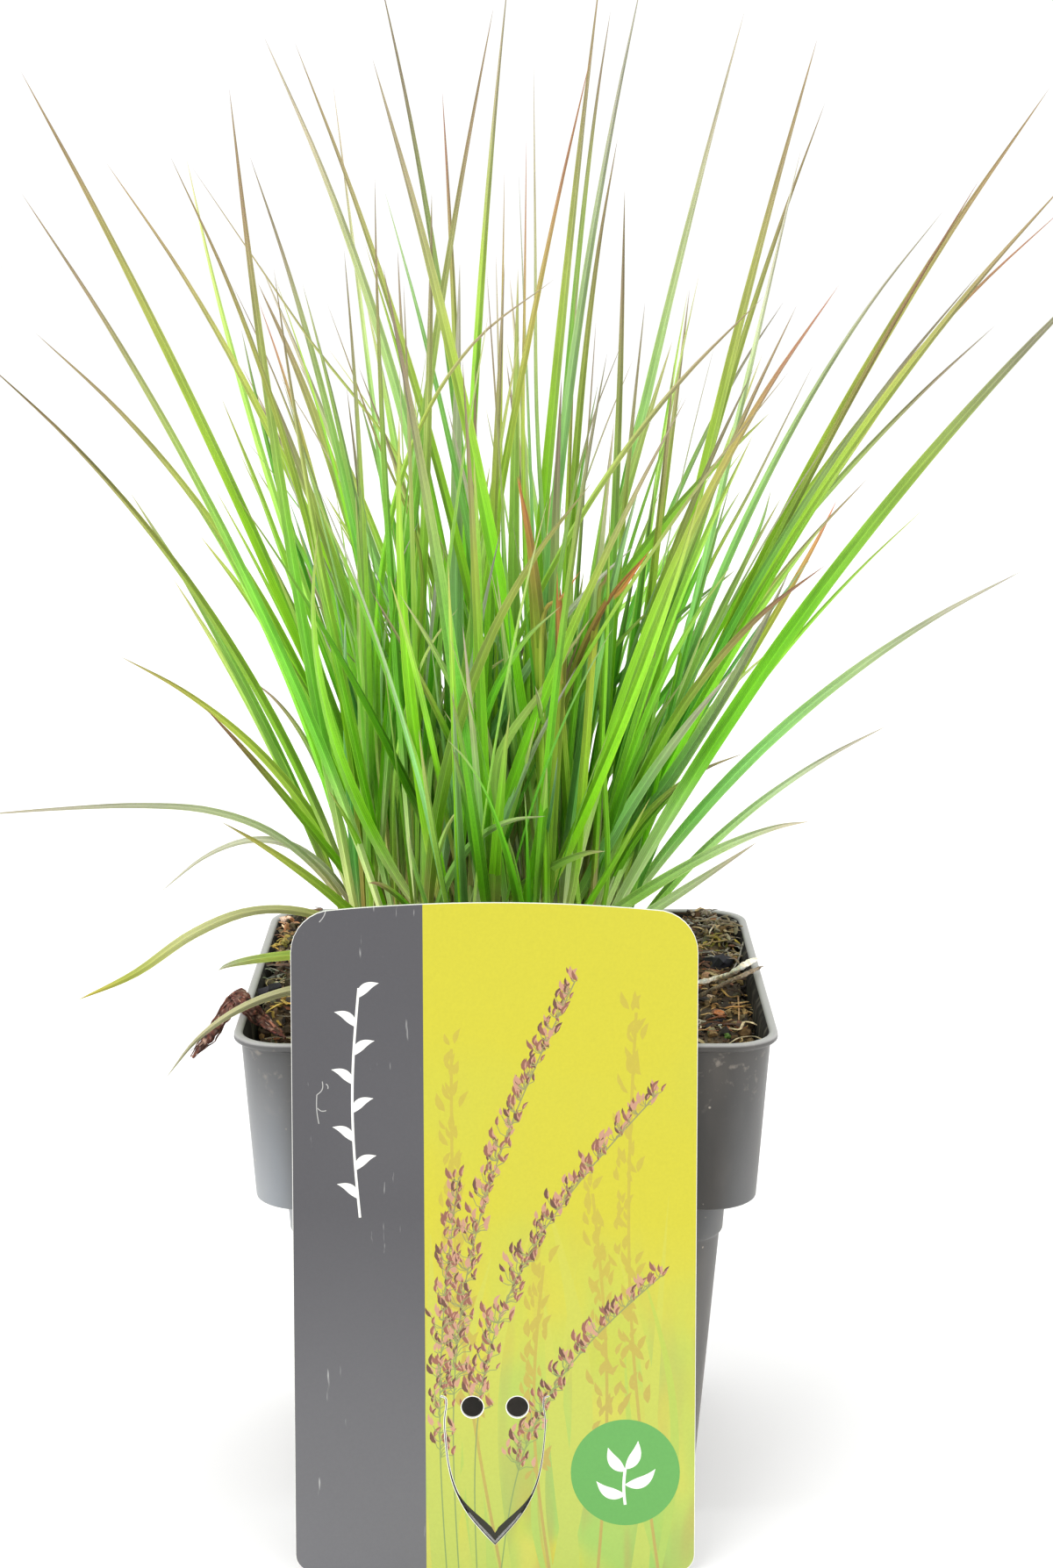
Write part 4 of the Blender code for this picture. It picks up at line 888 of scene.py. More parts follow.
class MOORGRASS_OT_soil(bpy.types.Operator):
    """Fill the pot with damp peat, and strew crumbs, bark bits, moss and fibres on it"""
    bl_idname = "moorgrass.soil"
    bl_label = "Soil"

    def execute(self, context):
        settings = context.scene.moorgrass_soil
        wall = context.scene.moorgrass_pot.wall + WALL_GAP
        half = COLLAR_FOOT_HALF - wall + 1.5 * MM
        rng = Random(11)
        shape = Shape()
        self.add_ground(shape, settings, wall)
        self.add_crumbs(shape, settings, half, rng)
        self.add_chips(shape, settings, half, rng)
        self.add_fibres(shape, settings, half, rng)
        self.add_features(shape, settings, rng)
        shape.build(
            "potting_mix",
            [painted_matter("damp_peat", 0.9 * MM, (1, 1, 1), 0.8, 0.25 * MM),
             painted_matter("pine_bark", 0.7 * MM, (1, 4, 4), 0.75, 0.15 * MM),
             painted_matter("moss_fibre", 0.5 * MM, (1, 1, 1), 0.8, 0.1 * MM)],
            "potting_soil", "potting_soil", sharp=35)
        return {"FINISHED"}

    def spot(self, half, rng):
        """A place on the soil, drawn at random."""
        while True:
            x, y = rng.uniform(-half, half), rng.uniform(-half, half)
            if on_soil(half, x, y):
                return x, y

    def add_crumbs(self, shape, settings, half, rng):
        """Crumbs of peat, most of them small."""
        form = ball(1)
        for _ in range(settings.crumbs):
            x, y = self.spot(half, rng)
            size = (0.25 + 1.1 * rng.random() ** 3) * MM
            tone = mixed(settings.peat[:], settings.fibre[:], 0.45 * rng.random() ** 2)
            paint = varied(tone, rng, 0.5)
            add_lump(shape, form, Vector((x, y, soil_height(settings, x, y) + 0.3 * size)),
                     (size, size * rng.uniform(0.5, 1), size * rng.uniform(0.4, 0.9)),
                     rng, paint, rough=0.9)

    def add_chips(self, shape, settings, half, rng):
        """Splinters of bark, some of them as brown as the peat."""
        fibre, bark, peat = settings.fibre[:], settings.bark[:], settings.peat[:]
        for _ in range(settings.chips):
            x, y = self.spot(half, rng)
            start = Vector((x, y, soil_height(settings, x, y) + rng.uniform(0.2, 1.0) * MM))
            tone = mixed(bark, rng.choice((peat, peat, fibre)), rng.random())
            self.add_splinter(shape, start, rng.uniform(1.2, 5) * MM, rng.uniform(0.25, 0.8) * MM,
                              varied(tone, rng, 0.4), rng)

    def add_fibres(self, shape, settings, half, rng):
        """Thin fibres that wander over the soil."""
        fibre, bark, peat = settings.fibre[:], settings.bark[:], settings.peat[:]
        for _ in range(settings.threads):
            x, y = self.spot(half, rng)
            start = Vector((x, y, soil_height(settings, x, y) + 0.8 * MM))
            path = wander(rng, start, rng.uniform(2.5, 9) * MM, 1.2, 0.35)
            if not on_soil(half, path[-1].x, path[-1].y):
                continue
            for point in path[1:]:
                floor = soil_height(settings, point.x, point.y)
                point.z = max(floor + 0.3 * MM, min(point.z, floor + 1.8 * MM))
            thin = rng.uniform(0.05, 0.17) * MM
            tone = rng.choice((fibre, fibre, mixed(fibre, settings.straw[:], 0.5), peat, bark))
            add_thread(shape, path, lambda share, thin=thin: (thin, thin),
                       varied(mixed(tone, peat, rng.random() * 0.4), rng, 0.35), sides=3, steps=7,
                       kind=2)

    def add_splinter(self, shape, middle, length, width, paint, rng, kind=1):
        """A flat bit of bark or fibre with torn ends."""
        turn = rng.uniform(-pi, pi)
        way = Vector((cos(turn), sin(turn), rng.uniform(-0.25, 0.25))) * length / 2
        bow = Vector((rng.gauss(0, 1), rng.gauss(0, 1), abs(rng.gauss(0, 1)))) * 0.08 * length
        seed = rng.uniform(-40, 40)

        def section(share):
            torn = 1 + 0.5 * noise.noise(Vector((share * 6, seed, 0)))
            ends = smoothstep(-0.1, 0.25, share) * smoothstep(1.1, 0.8, share)
            return width * ends * torn, 0.35 * width * ends

        add_thread(shape, [middle - way, middle + bow, middle + way], section, paint, sides=6,
                   steps=8, kind=kind)

    def add_ground(self, shape, settings, wall):
        """The body of the soil, as in the frame, with a finely lumpy top."""
        outline = (
            (BODY_FOOT_HALF - wall, BODY_RADIUS - wall, FLOOR_THICK + WALL_GAP),
            (BODY_TOP_HALF - 2 * LEDGE - wall - 0.5 * MM, BODY_RADIUS - wall, COLLAR_FOOT + MM),
            (COLLAR_FOOT_HALF - wall - 0.5 * MM, RIM_RADIUS - wall, COLLAR_FOOT + 3 * MM),
        )
        rings = [rounded_square(*place, steps=8, flat_steps=30) for place in outline]
        edge = rounded_square(COLLAR_FOOT_HALF - wall + 0.9 * MM, RIM_RADIUS - wall, 0,
                              steps=8, flat_steps=30)
        for level in range(GROUND_RINGS + 1):
            ring = []
            for point in edge:
                seat = PLANT + point.normalized() * (SEAT_RADIUS - 3 * MM)
                x, y, _ = point.lerp(seat, level / GROUND_RINGS)
                ring.append(Vector((x, y, soil_height(settings, x, y))))
            rings.append(ring)
        points = [point for ring in rings for point in ring]
        rng = Random(5)
        paint = []
        for point in points:
            level = 0.5 + 0.5 * noise.noise(point / (4 * MM))
            tone = mixed(settings.peat[:], settings.fibre[:], 0.25 * level ** 2)
            paint.append(varied(tone, rng, 0.15))
        shape.add(points, skin(len(rings), len(rings[0])), paint)

    def add_features(self, shape, settings, rng):
        """The bits that stand out in the photograph, at the places where it shows them."""
        form = ball(2)

        def seen(pixel, lift):
            """Where the soil, or a height above it, shows at a pixel."""
            point = sight_down(pixel, SOIL_LEVEL)
            for _ in range(8):      # place and height settle in a few rounds
                point = sight_down(pixel, soil_height(settings, point.x, point.y) + lift)
            return point

        for pixel, size, code in SOIL_HEAPS:
            middle = seen(pixel, 0.5 * MM)
            for _ in range(HEAP_BITS):
                off = Vector((rng.gauss(0, 1), rng.gauss(0, 1), 0)) * size * 0.6 * MM
                x, y = (middle + off).xy
                if not on_soil(RIM_HALF - 2.4 * MM, x, y):
                    continue
                bit = size * rng.uniform(0.10, 0.26) * MM
                height = soil_height(settings, x, y) + (0.3 + rng.random()) * bit
                tone = varied(linear(code), rng, 0.35)
                if rng.random() < 0.2:
                    add_lump(shape, form, Vector((x, y, height)), (bit, bit * 0.6, bit * 0.5), rng,
                             tone, rough=1.0, kind=2)
                else:
                    spot = Vector((x, y, height + 0.2 * MM))
                    self.add_splinter(shape, spot, bit * 3.4, bit * 0.32, tone, rng, kind=2)
        for pixel, size, code in SOIL_BITS:
            centre = seen(pixel, 0.5 * size[2] * MM)
            add_lump(shape, form, centre, [side * MM for side in size], rng, linear(code),
                     rough=0.8, kind=1, tilt=0.3)
        for path, thin, code in SOIL_STRAWS:
            points = [seen(pixel, (1.0 + 0.6 * (number % 2)) * MM)
                      for number, pixel in enumerate(path)]
            add_thread(shape, points, lambda share, thin=thin: (thin * MM, 0.6 * thin * MM),
                       linear(code), sides=5, steps=8 * len(points), kind=2)


class MOORGRASS_OT_crown(bpy.types.Operator):
    """Set the fibrous crown that the shoots grow from, with its dead leaf bases"""
    bl_idname = "moorgrass.crown"
    bl_label = "Crown"

    def execute(self, context):
        leaves = context.scene.moorgrass_leaf
        soil = context.scene.moorgrass_soil
        rng = Random(23)
        shape = Shape()
        sides, levels = 64, 14
        rings = []
        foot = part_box("crown")[0].z
        for level in range(levels + 1):
            share = 1 - 0.93 * max(0, level - 2) / (levels - 2)
            height = dome(CROWN_RADIUS * share) if level else foot
            if level == 1:
                height -= 2 * MM
            for side in range(sides):
                way = level_way(tau * side / sides)
                rough = noise.noise(way * 6 + UP * share * 5)
                reach = CROWN_RADIUS * share * (0.985 + 0.015 * rough)
                lift = 0.45 * MM * noise.noise(way * reach / (1.6 * MM)) if level > 2 else 0
                rings.append(PLANT + way * reach + UP * (height + lift))
        paint = [varied(mixed(leaves.dry[:], soil.peat[:], rng.uniform(0.3, 0.8)), rng, 0.2)
                 for _ in rings]
        shape.add(rings, skin(levels + 1, sides), paint)
        for _ in range(CROWN_FIBRES):
            reach = CROWN_RADIUS * sqrt(rng.random()) * 0.96
            spot = PLANT + level_way(rng.uniform(-pi, pi)) * reach
            start = Vector((spot.x, spot.y, dome(reach)))
            path = wander(rng, start, rng.uniform(2, 6) * MM, 0.7, 0.4)
            for point in path[1:]:
                floor = dome((point - PLANT).xy.length)
                point.z = max(point.z, floor + 0.1 * MM)
            thin = rng.uniform(0.08, 0.22) * MM
            add_thread(shape, path, lambda share, thin=thin: (thin * (1.2 - share), thin * 0.6),
                       varied(mixed(leaves.dry[:], soil.peat[:], rng.random()), rng, 0.3), sides=3)
        matter = painted_matter("dead_leaf_bases", 0.6 * MM, (1, 1, 0.4), 0.8, 0.15 * MM)
        shape.build("crown_mat", [matter], "grass_crown", "crown", sharp=70)
        return {"FINISHED"}


def dome(radius):
    """Height of the crown's upper side at a distance from its middle."""
    return CROWN_TOP - CROWN_DROP * (radius / CROWN_RADIUS) ** 2


def shoot_form(node):
    """A packed shoot, read off the frame: its stem's ends, and each blade's rings up to its tip."""
    edit = bmesh.new()
    edit.from_mesh(node.data)
    bmesh.ops.remove_doubles(edit, verts=edit.verts, dist=0.001 * MM)
    blades, used = [], set()
    for tip in edit.verts:
        rings, seen = [], {tip}
        ring = next_ring([tip], seen)
        while len(ring) == 3 and len(rings) < BLADE_RINGS:
            rings.append(ring)
            seen |= set(ring)
            ring = next_ring(ring, seen)
        if len(rings) == BLADE_RINGS and len(tip.link_edges) == 3:
            blades.append([[corner.co.copy() for corner in ring] for ring in reversed(rings)]
                          + [[tip.co.copy()]])
            used |= seen
    rest = sorted((corner for corner in edit.verts if corner not in used),
                  key=lambda corner: corner.co.z)
    low = rest[:4]
    high = next_ring(low, set(low))
    ends = [sum((corner.co for corner in ring), Vector()) / len(ring) for ring in (low, high)]
    edit.free()
    if not blades or len(high) != 4:
        raise RuntimeError(f"{node.name} isn't a shoot of blades")
    return ends, blades


def next_ring(ring, seen):
    """The points next to a ring's that aren't seen yet, in a steady order."""
    found = []
    for corner in ring:
        for edge in corner.link_edges:
            other = edge.other_vert(corner)
            if other not in seen and other not in found:
                found.append(other)
    return found


def blade_frame(rings):
    """A blade's middle line, its sideways directions and its full width, from its rings."""
    middles, sides, widths = [], [], []
    for ring in rings[1:-1]:
        pairs = [(ring[i], ring[(i + 1) % 3]) for i in range(3)]
        left, right = max(pairs, key=lambda pair: (pair[1] - pair[0]).length)
        side = (right - left).normalized()
        if sides and side.dot(sides[-1]) < 0:
            side = -side
        crest = next(corner for corner in ring if corner not in (left, right))
        middles.append((left + right) / 2)
        sides.append(side)
        widths.append((right - left).length)
        keel = crest - middles[-1]
    if sides[-1].cross(middles[-1] - middles[-2]).dot(keel) > 0:
        sides = [-side for side in sides]
    root = sum(rings[0], Vector()) / 3
    middles = [root] + middles + [rings[-1][0]]
    sides = [sides[0]] + sides + [sides[-1]]
    return middles, sides, max(widths)


def leaf_width(share, late):
    """Width of a leaf along it, as a share of its greatest. A late one widens near its end."""
    taper = (1 - max(share, 0) ** (5 if late else 2.6)) ** 0.92
    if late:
        return (0.7 + 0.3 * smoothstep(0.4, 0.75, share)) * taper
    return (0.42 + 0.58 * smoothstep(-0.05, 0.28, share)) * taper


def add_leaf(shape, middles, sides, width, colours, rng, settings, steps=LEAF_STEPS, start=1,
             kind=0, late=False):
    """Add one leaf, folded along its midrib, through its middle points. It leaves its sheath at
    the point numbered start, and ends in the last one."""
    seed = rng.uniform(-40, 40)
    inmost = 1 - smoothstep(8 * MM, 17 * MM, (middles[0] - PLANT).xy.length)
    last = len(middles) - 1
    points, paint, place = [], [], []
    travelled = 0.0
    before = middles[0]
    for step in range(steps):
        spot = last * step / steps
        share = (spot - start) / (last - start)
        middle = smooth(middles, spot)
        travelled += (middle - before).length
        before = middle
        along = heading(middles, spot)
        i = min(int(spot), last - 1)
        side = sides[i].lerp(sides[i + 1], spot - i)
        side = (side - along * side.dot(along)).normalized()
        keel = along.cross(side)
        wave = 1 + 0.06 * noise.noise(Vector((travelled / (9 * MM), seed, 0)))
        half = 0.5 * width * leaf_width(share, late) * wave
        fold = 0.5 - 0.32 * smoothstep(-0.15, 0.35, share) + 0.2 * smoothstep(0.75, 1, share)
        rise = fold * 2 * half
        thick = min(settings.thickness * (1.1 - 0.5 * max(share, 0)), 0.4 * half + 0.02 * MM)
        section = ((-1, 0), (-0.52, 0.55 * rise), (0, rise), (0.52, 0.55 * rise), (1, 0),
                   (0.5, 0.55 * rise - thick), (0, rise - 1.2 * thick),
                   (-0.5, 0.55 * rise - thick))
        tone = stepped(HUE_STOPS, colours, max(share, 0))
        # Painted shade: low in the tuft, leaves near the plant's middle are darker, as in its
        # shaded heart
        near = smoothstep(34 * MM, 20 * MM, (middle - PLANT).xy.length)
        deep = smoothstep(SHADE_TOP, SHADE_FOOT, middle.z)
        deep *= smoothstep(CROWN_TOP, SHADE_FOOT, middle.z)
        shade = 1 - 0.32 * inmost * near * deep
        for across, depth in section:
            points.append(middle + side * across * half + keel * depth)
            place.append((travelled, across * half, seed))
            paint.append((*(part * shade for part in tone), abs(across)))
    points.append(middles[-1])
    place.append((travelled, 0, seed))
    paint.append((*colours[-1], 0))
    shape.add(points, skin(steps, len(section), pointed=True), paint, place, kind)


def leaf_colours(hue, rng):
    """A leaf's row of colours from foot to tip, no two leaves quite alike."""
    level = 1 + rng.uniform(-0.26, 0.27)
    warm = 1 + rng.uniform(-0.10, 0.10)
    return [(red * level * warm, green * level, blue * level / warm)
            for red, green, blue in map(linear, (rng.choice(FOOT_HUES), *HUES[hue]))]


def hue_of(tip, rng):
    """The hue that the photograph shows for the leaf that ends in a point."""
    pixel = pixel_of(tip)
    for hue, tips in TIP_HUES.items():
        if any((pixel - Vector(seen)).length < 2 for seen in tips):
            return hue
    return rng.choice(TALL_HUES if pixel.y < SHORT_BELOW else FILLER_HUES)


class MOORGRASS_OT_shoots(bpy.types.Operator):
    """Grow each shoot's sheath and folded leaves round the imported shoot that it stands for"""
    bl_idname = "moorgrass.shoots"
    bl_label = "Shoots"

    def execute(self, context):
        settings = context.scene.moorgrass_leaf
        forms = {name: shoot_form(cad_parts[name]) for name in SHOOTS}
        blades = {name: [blade_frame(rings) for rings in form[1]] for name, form in forms.items()}
        materials = [living_leaf("living_leaf", settings),
                     painted_matter("dry_leaf", 0.5 * MM, (1, 1, 0.2), 0.7, 0.08 * MM)]
        owned = {name: [] for name in SHOOTS}
        for thin in THIN_LEAVES:
            _, middle, depth, *_ = thin
            near = sight((middle[0], STEM_ROW), depth * MM)
            owned[min(SHOOTS, key=lambda name: (forms[name][0][1] - near).xy.length)].append(thin)
        for number, name in enumerate(SHOOTS):
            rng = Random(400 + number)
            shape = Shape()
            foot, top = forms[name][0]
            self.add_sheath(shape, foot, top, settings, rng)
            for middles, sides, width in blades[name]:
                root = foot.lerp(top, 0.45)
                hue = hue_of(middles[-1], rng)
                if hue in SAGS:
                    sag, place = SAGS[hue]
                    middles = [middle - UP * sag * sin(pi * (i / (len(middles) - 1)) ** place)
                               for i, middle in enumerate(middles)]
                add_leaf(shape, [root] + middles, [sides[0]] + sides, width + 0.4 * MM,
                         leaf_colours(hue, rng), rng, settings, late=hue == "s")
            for _ in range(settings.inner):
                self.add_inner(shape, foot, top, blades, name, settings, rng)
            for thin in owned[name]:
                self.add_thin(shape, foot, top, settings, rng, *thin)
            self.add_dry(shape, foot, top, settings, rng)
            shape.build(name.replace("tiller", "shoot"), materials, "grass_blade", name, sharp=28)
        return {"FINISHED"}

    def add_sheath(self, shape, foot, top, settings, rng):
        """The rolled leaf bases that make up a shoot's stem."""
        sides, steps = 12, 9
        seed = rng.uniform(-40, 40)
        points, paint, place = [], [], []
        end = top + (top - foot).normalized() * SHEATH_PAST * MM
        for step in range(steps):
            share = step / (steps - 1)
            middle = foot.lerp(end, share) - UP * 0.8 * MM * (1 - share)
            radius = settings.sheath * (1 - 0.35 * share) * (1 - 0.7 * smoothstep(0.75, 1, share))
            ripe = smoothstep(0.1, 0.75, share)
            tone = mixed(settings.sheath_foot[:], settings.sheath_top[:], ripe)
            tone = varied(tone, rng, 0.05)
            for side in range(sides):
                angle = tau * side / sides + seed
                ridge = 1 + 0.10 * cos(3 * angle + 4 * share)
                points.append(middle + level_way(angle) * radius * ridge)
                place.append((share * (end - foot).length, radius * sin(angle), seed))
                paint.append(tone)
        shape.add(points, skin(steps, sides), paint, place)

    def add_inner(self, shape, foot, top, blades, name, settings, rng):
        """A thin young leaf between two leaves that the frame has."""
        mine = rng.choice(blades[name])
        near = rng.choice(blades[rng.choice([name, rng.choice(SHOOTS)])])
        mix = rng.uniform(0.15, 0.5)
        reach = rng.uniform(0.45, 0.88)
        root = mine[0][0]
        path = []
        for own, other in zip(mine[0], near[0]):
            way = (own - root).lerp(other - near[0][0], mix)
            path.append(root + way * reach)
        spread = path[-1] - root
        if spread.z < 1.2 * spread.xy.length:
            return
        sides = [side.copy() for side in mine[1]]
        turn = Quaternion(UP, rng.uniform(-1.2, 1.2))
        for side in sides:
            side.rotate(turn)
        colours = leaf_colours(rng.choice(INNER_HUES), rng)
        add_leaf(shape, [foot.lerp(top, 0.5)] + path, [sides[0]] + sides,
                 rng.uniform(1.1, 2.6) * MM, colours, rng, settings, steps=26)

    def add_thin(self, shape, foot, top, settings, rng, tip, middle, depth, width, hue):
        """A thin leaf that the photograph shows and the frame hasn't."""
        end, bend = sight(tip, depth * MM), sight(middle, depth * MM)
        rise = top + (top - foot).normalized() * THIN_RISE * MM
        path = [top, rise, rise.lerp(bend, 0.5), bend, bend.lerp(end, 0.5), end]
        side = level_way(rng.uniform(-0.6, 0.6))
        add_leaf(shape, [foot.lerp(top, 0.5)] + path, [side] * 7, width * MM,
                 leaf_colours(hue, rng), rng, settings)

    def add_dry(self, shape, foot, top, settings, rng):
        """Dead sheaths that stand off from the shoot's foot."""
        for _ in range(2):
            turn = rng.uniform(-pi, pi)
            out = level_way(turn)
            side = Vector((-sin(turn), cos(turn), 0))
            rise = (top - foot) * rng.uniform(0.5, 1.0)
            middles = [foot + out * 1.2 * MM - UP * 0.5 * MM,
                       foot + out * 1.9 * MM + rise * 0.5,
                       foot + out * rng.uniform(2, 4) * MM + rise,
                       foot + out * rng.uniform(3, 8) * MM + rise * rng.uniform(1.1, 1.6)]
            colours = [varied(settings.dry[:], rng, 0.25)] * len(HUE_STOPS)
            add_leaf(shape, middles, [side] * 4, rng.uniform(1.2, 2.2) * MM, colours, rng,
                     settings, steps=12, start=0, kind=1)


def card_outline(inset):
    """The card's outline, across and up from the middle of its foot, drawn in by so much."""
    half = CARD_WIDTH / 2
    corners = ((-half, 0, CARD_FOOT_CORNER, pi), (half, 0, CARD_FOOT_CORNER, 1.5 * pi),
               (half, CARD_LENGTH - CARD_ARCH, CARD_CORNER, 0),
               (-half, CARD_LENGTH - CARD_ARCH, CARD_CORNER, pi / 2))
    points = []
    for number, (x, y, radius, start) in enumerate(corners):
        middle = Vector((x - radius if x > 0 else x + radius, y - radius if y else y + radius))
        for step in range(CORNER_STEPS + 1):
            angle = start + pi / 2 * step / CORNER_STEPS
            points.append(middle + Vector((cos(angle), sin(angle))) * (radius - inset))
        if number == 2:
            span = half - CARD_CORNER
            for step in range(1, ARCH_STEPS):
                across = span * (1 - 2 * step / ARCH_STEPS)
                rise = CARD_ARCH * (1 - (across / span) ** 2)
                points.append(Vector((across, CARD_LENGTH - CARD_ARCH + rise - inset)))
    return points


def tongue_line():
    """Middle line of the cut round the pointed tongue, from its left end to its right end. It
    starts and ends with a small hook."""
    left = [Vector((across - TONGUE_HALF / MM, up, 0)) * MM for across, up in TONGUE_SIDE]
    left.append(Vector((0, -TONGUE_LENGTH, 0)))
    steps = 4 * (len(left) - 1)
    side = [smooth(left, step / 4).xy for step in range(steps + 1)]
    mirrored = [Vector((-point.x, point.y)) for point in reversed(side[:-1])]
    return [Vector((0, TONGUE_TOP)) + point for point in side + mirrored]


def ribbon(path, width):
    """The closed outline of a band along a path. Its width is one, or one for each point."""
    widths = width if isinstance(width, list) else [width] * len(path)
    sides = ([], [])
    for i, point in enumerate(path):
        along = (path[min(i + 1, len(path) - 1)] - path[max(i - 1, 0)]).normalized()
        across = Vector((-along.y, along.x)) * widths[i] / 2
        sides[0].append(point + across)
        sides[1].append(point - across)
    return sides[0] + sides[1][::-1]


def leaf_outline(path, width, cut=False):
    """A printed leaf with a pointed end. Its foot is pointed too, or else it is cut off broad."""
    shares = [i / (len(path) - 1) for i in range(len(path))]
    if cut:
        widths = [max(0.04, sin(pi * (0.25 + 0.75 * share))) for share in shares]
    else:
        widths = [max(0.03, sin(pi * share ** 0.8)) for share in shares]
    return ribbon(path, [width * part for part in widths])


def circle(middle, radius, steps=28):
    angles = [tau * step / steps for step in range(steps)]
    return [middle + Vector((cos(angle), sin(angle))) * radius for angle in angles]


def inside(point, outline):
    """Whether a point lies in a closed outline."""
    odd = False
    x, y = point
    a = outline[-1]
    for b in outline:
        if (a[1] > y) != (b[1] > y) and x < a[0] + (y - a[1]) / (b[1] - a[1]) * (b[0] - a[0]):
            odd = not odd
        a = b
    return odd


def cell_of(point):
    """The cell of the card, two millimetres wide, that a point lies in."""
    return tuple(int(value // (2 * MM)) for value in point)


def by_cell(motifs, kind_of):
    """The motifs that reach into each cell of the card, each with its ink's number."""
    near = {}
    for polygon, ink in motifs:
        columns, rows = zip(*(cell_of(point) for point in polygon))
        for x in range(min(columns), max(columns) + 1):
            for y in range(min(rows), max(rows) + 1):
                near.setdefault((x, y), []).append((polygon, kind_of[ink]))
    return near


def triangulated(loops):
    """The points and faces of a flat mesh that has every line of the loops among its edges."""
    points, edges = [], []
    for loop in loops:
        first = len(points)
        points += [point / MM for point in loop]
        edges += [(first + i, first + (i + 1) % len(loop)) for i in range(len(loop))]
    flat, _, faces, *_ = geometry.delaunay_2d_cdt(points, edges, [], 0, 1e-4)
    return [point * MM for point in flat], faces


def arc(start, end, bow, steps=18):
    """Points of a bowed line in the card's plane."""
    across = Vector((start.y - end.y, end.x - start.x))
    return [start.lerp(end, i / steps) + across * bow * sin(pi * i / steps)
            for i in range(steps + 1)]


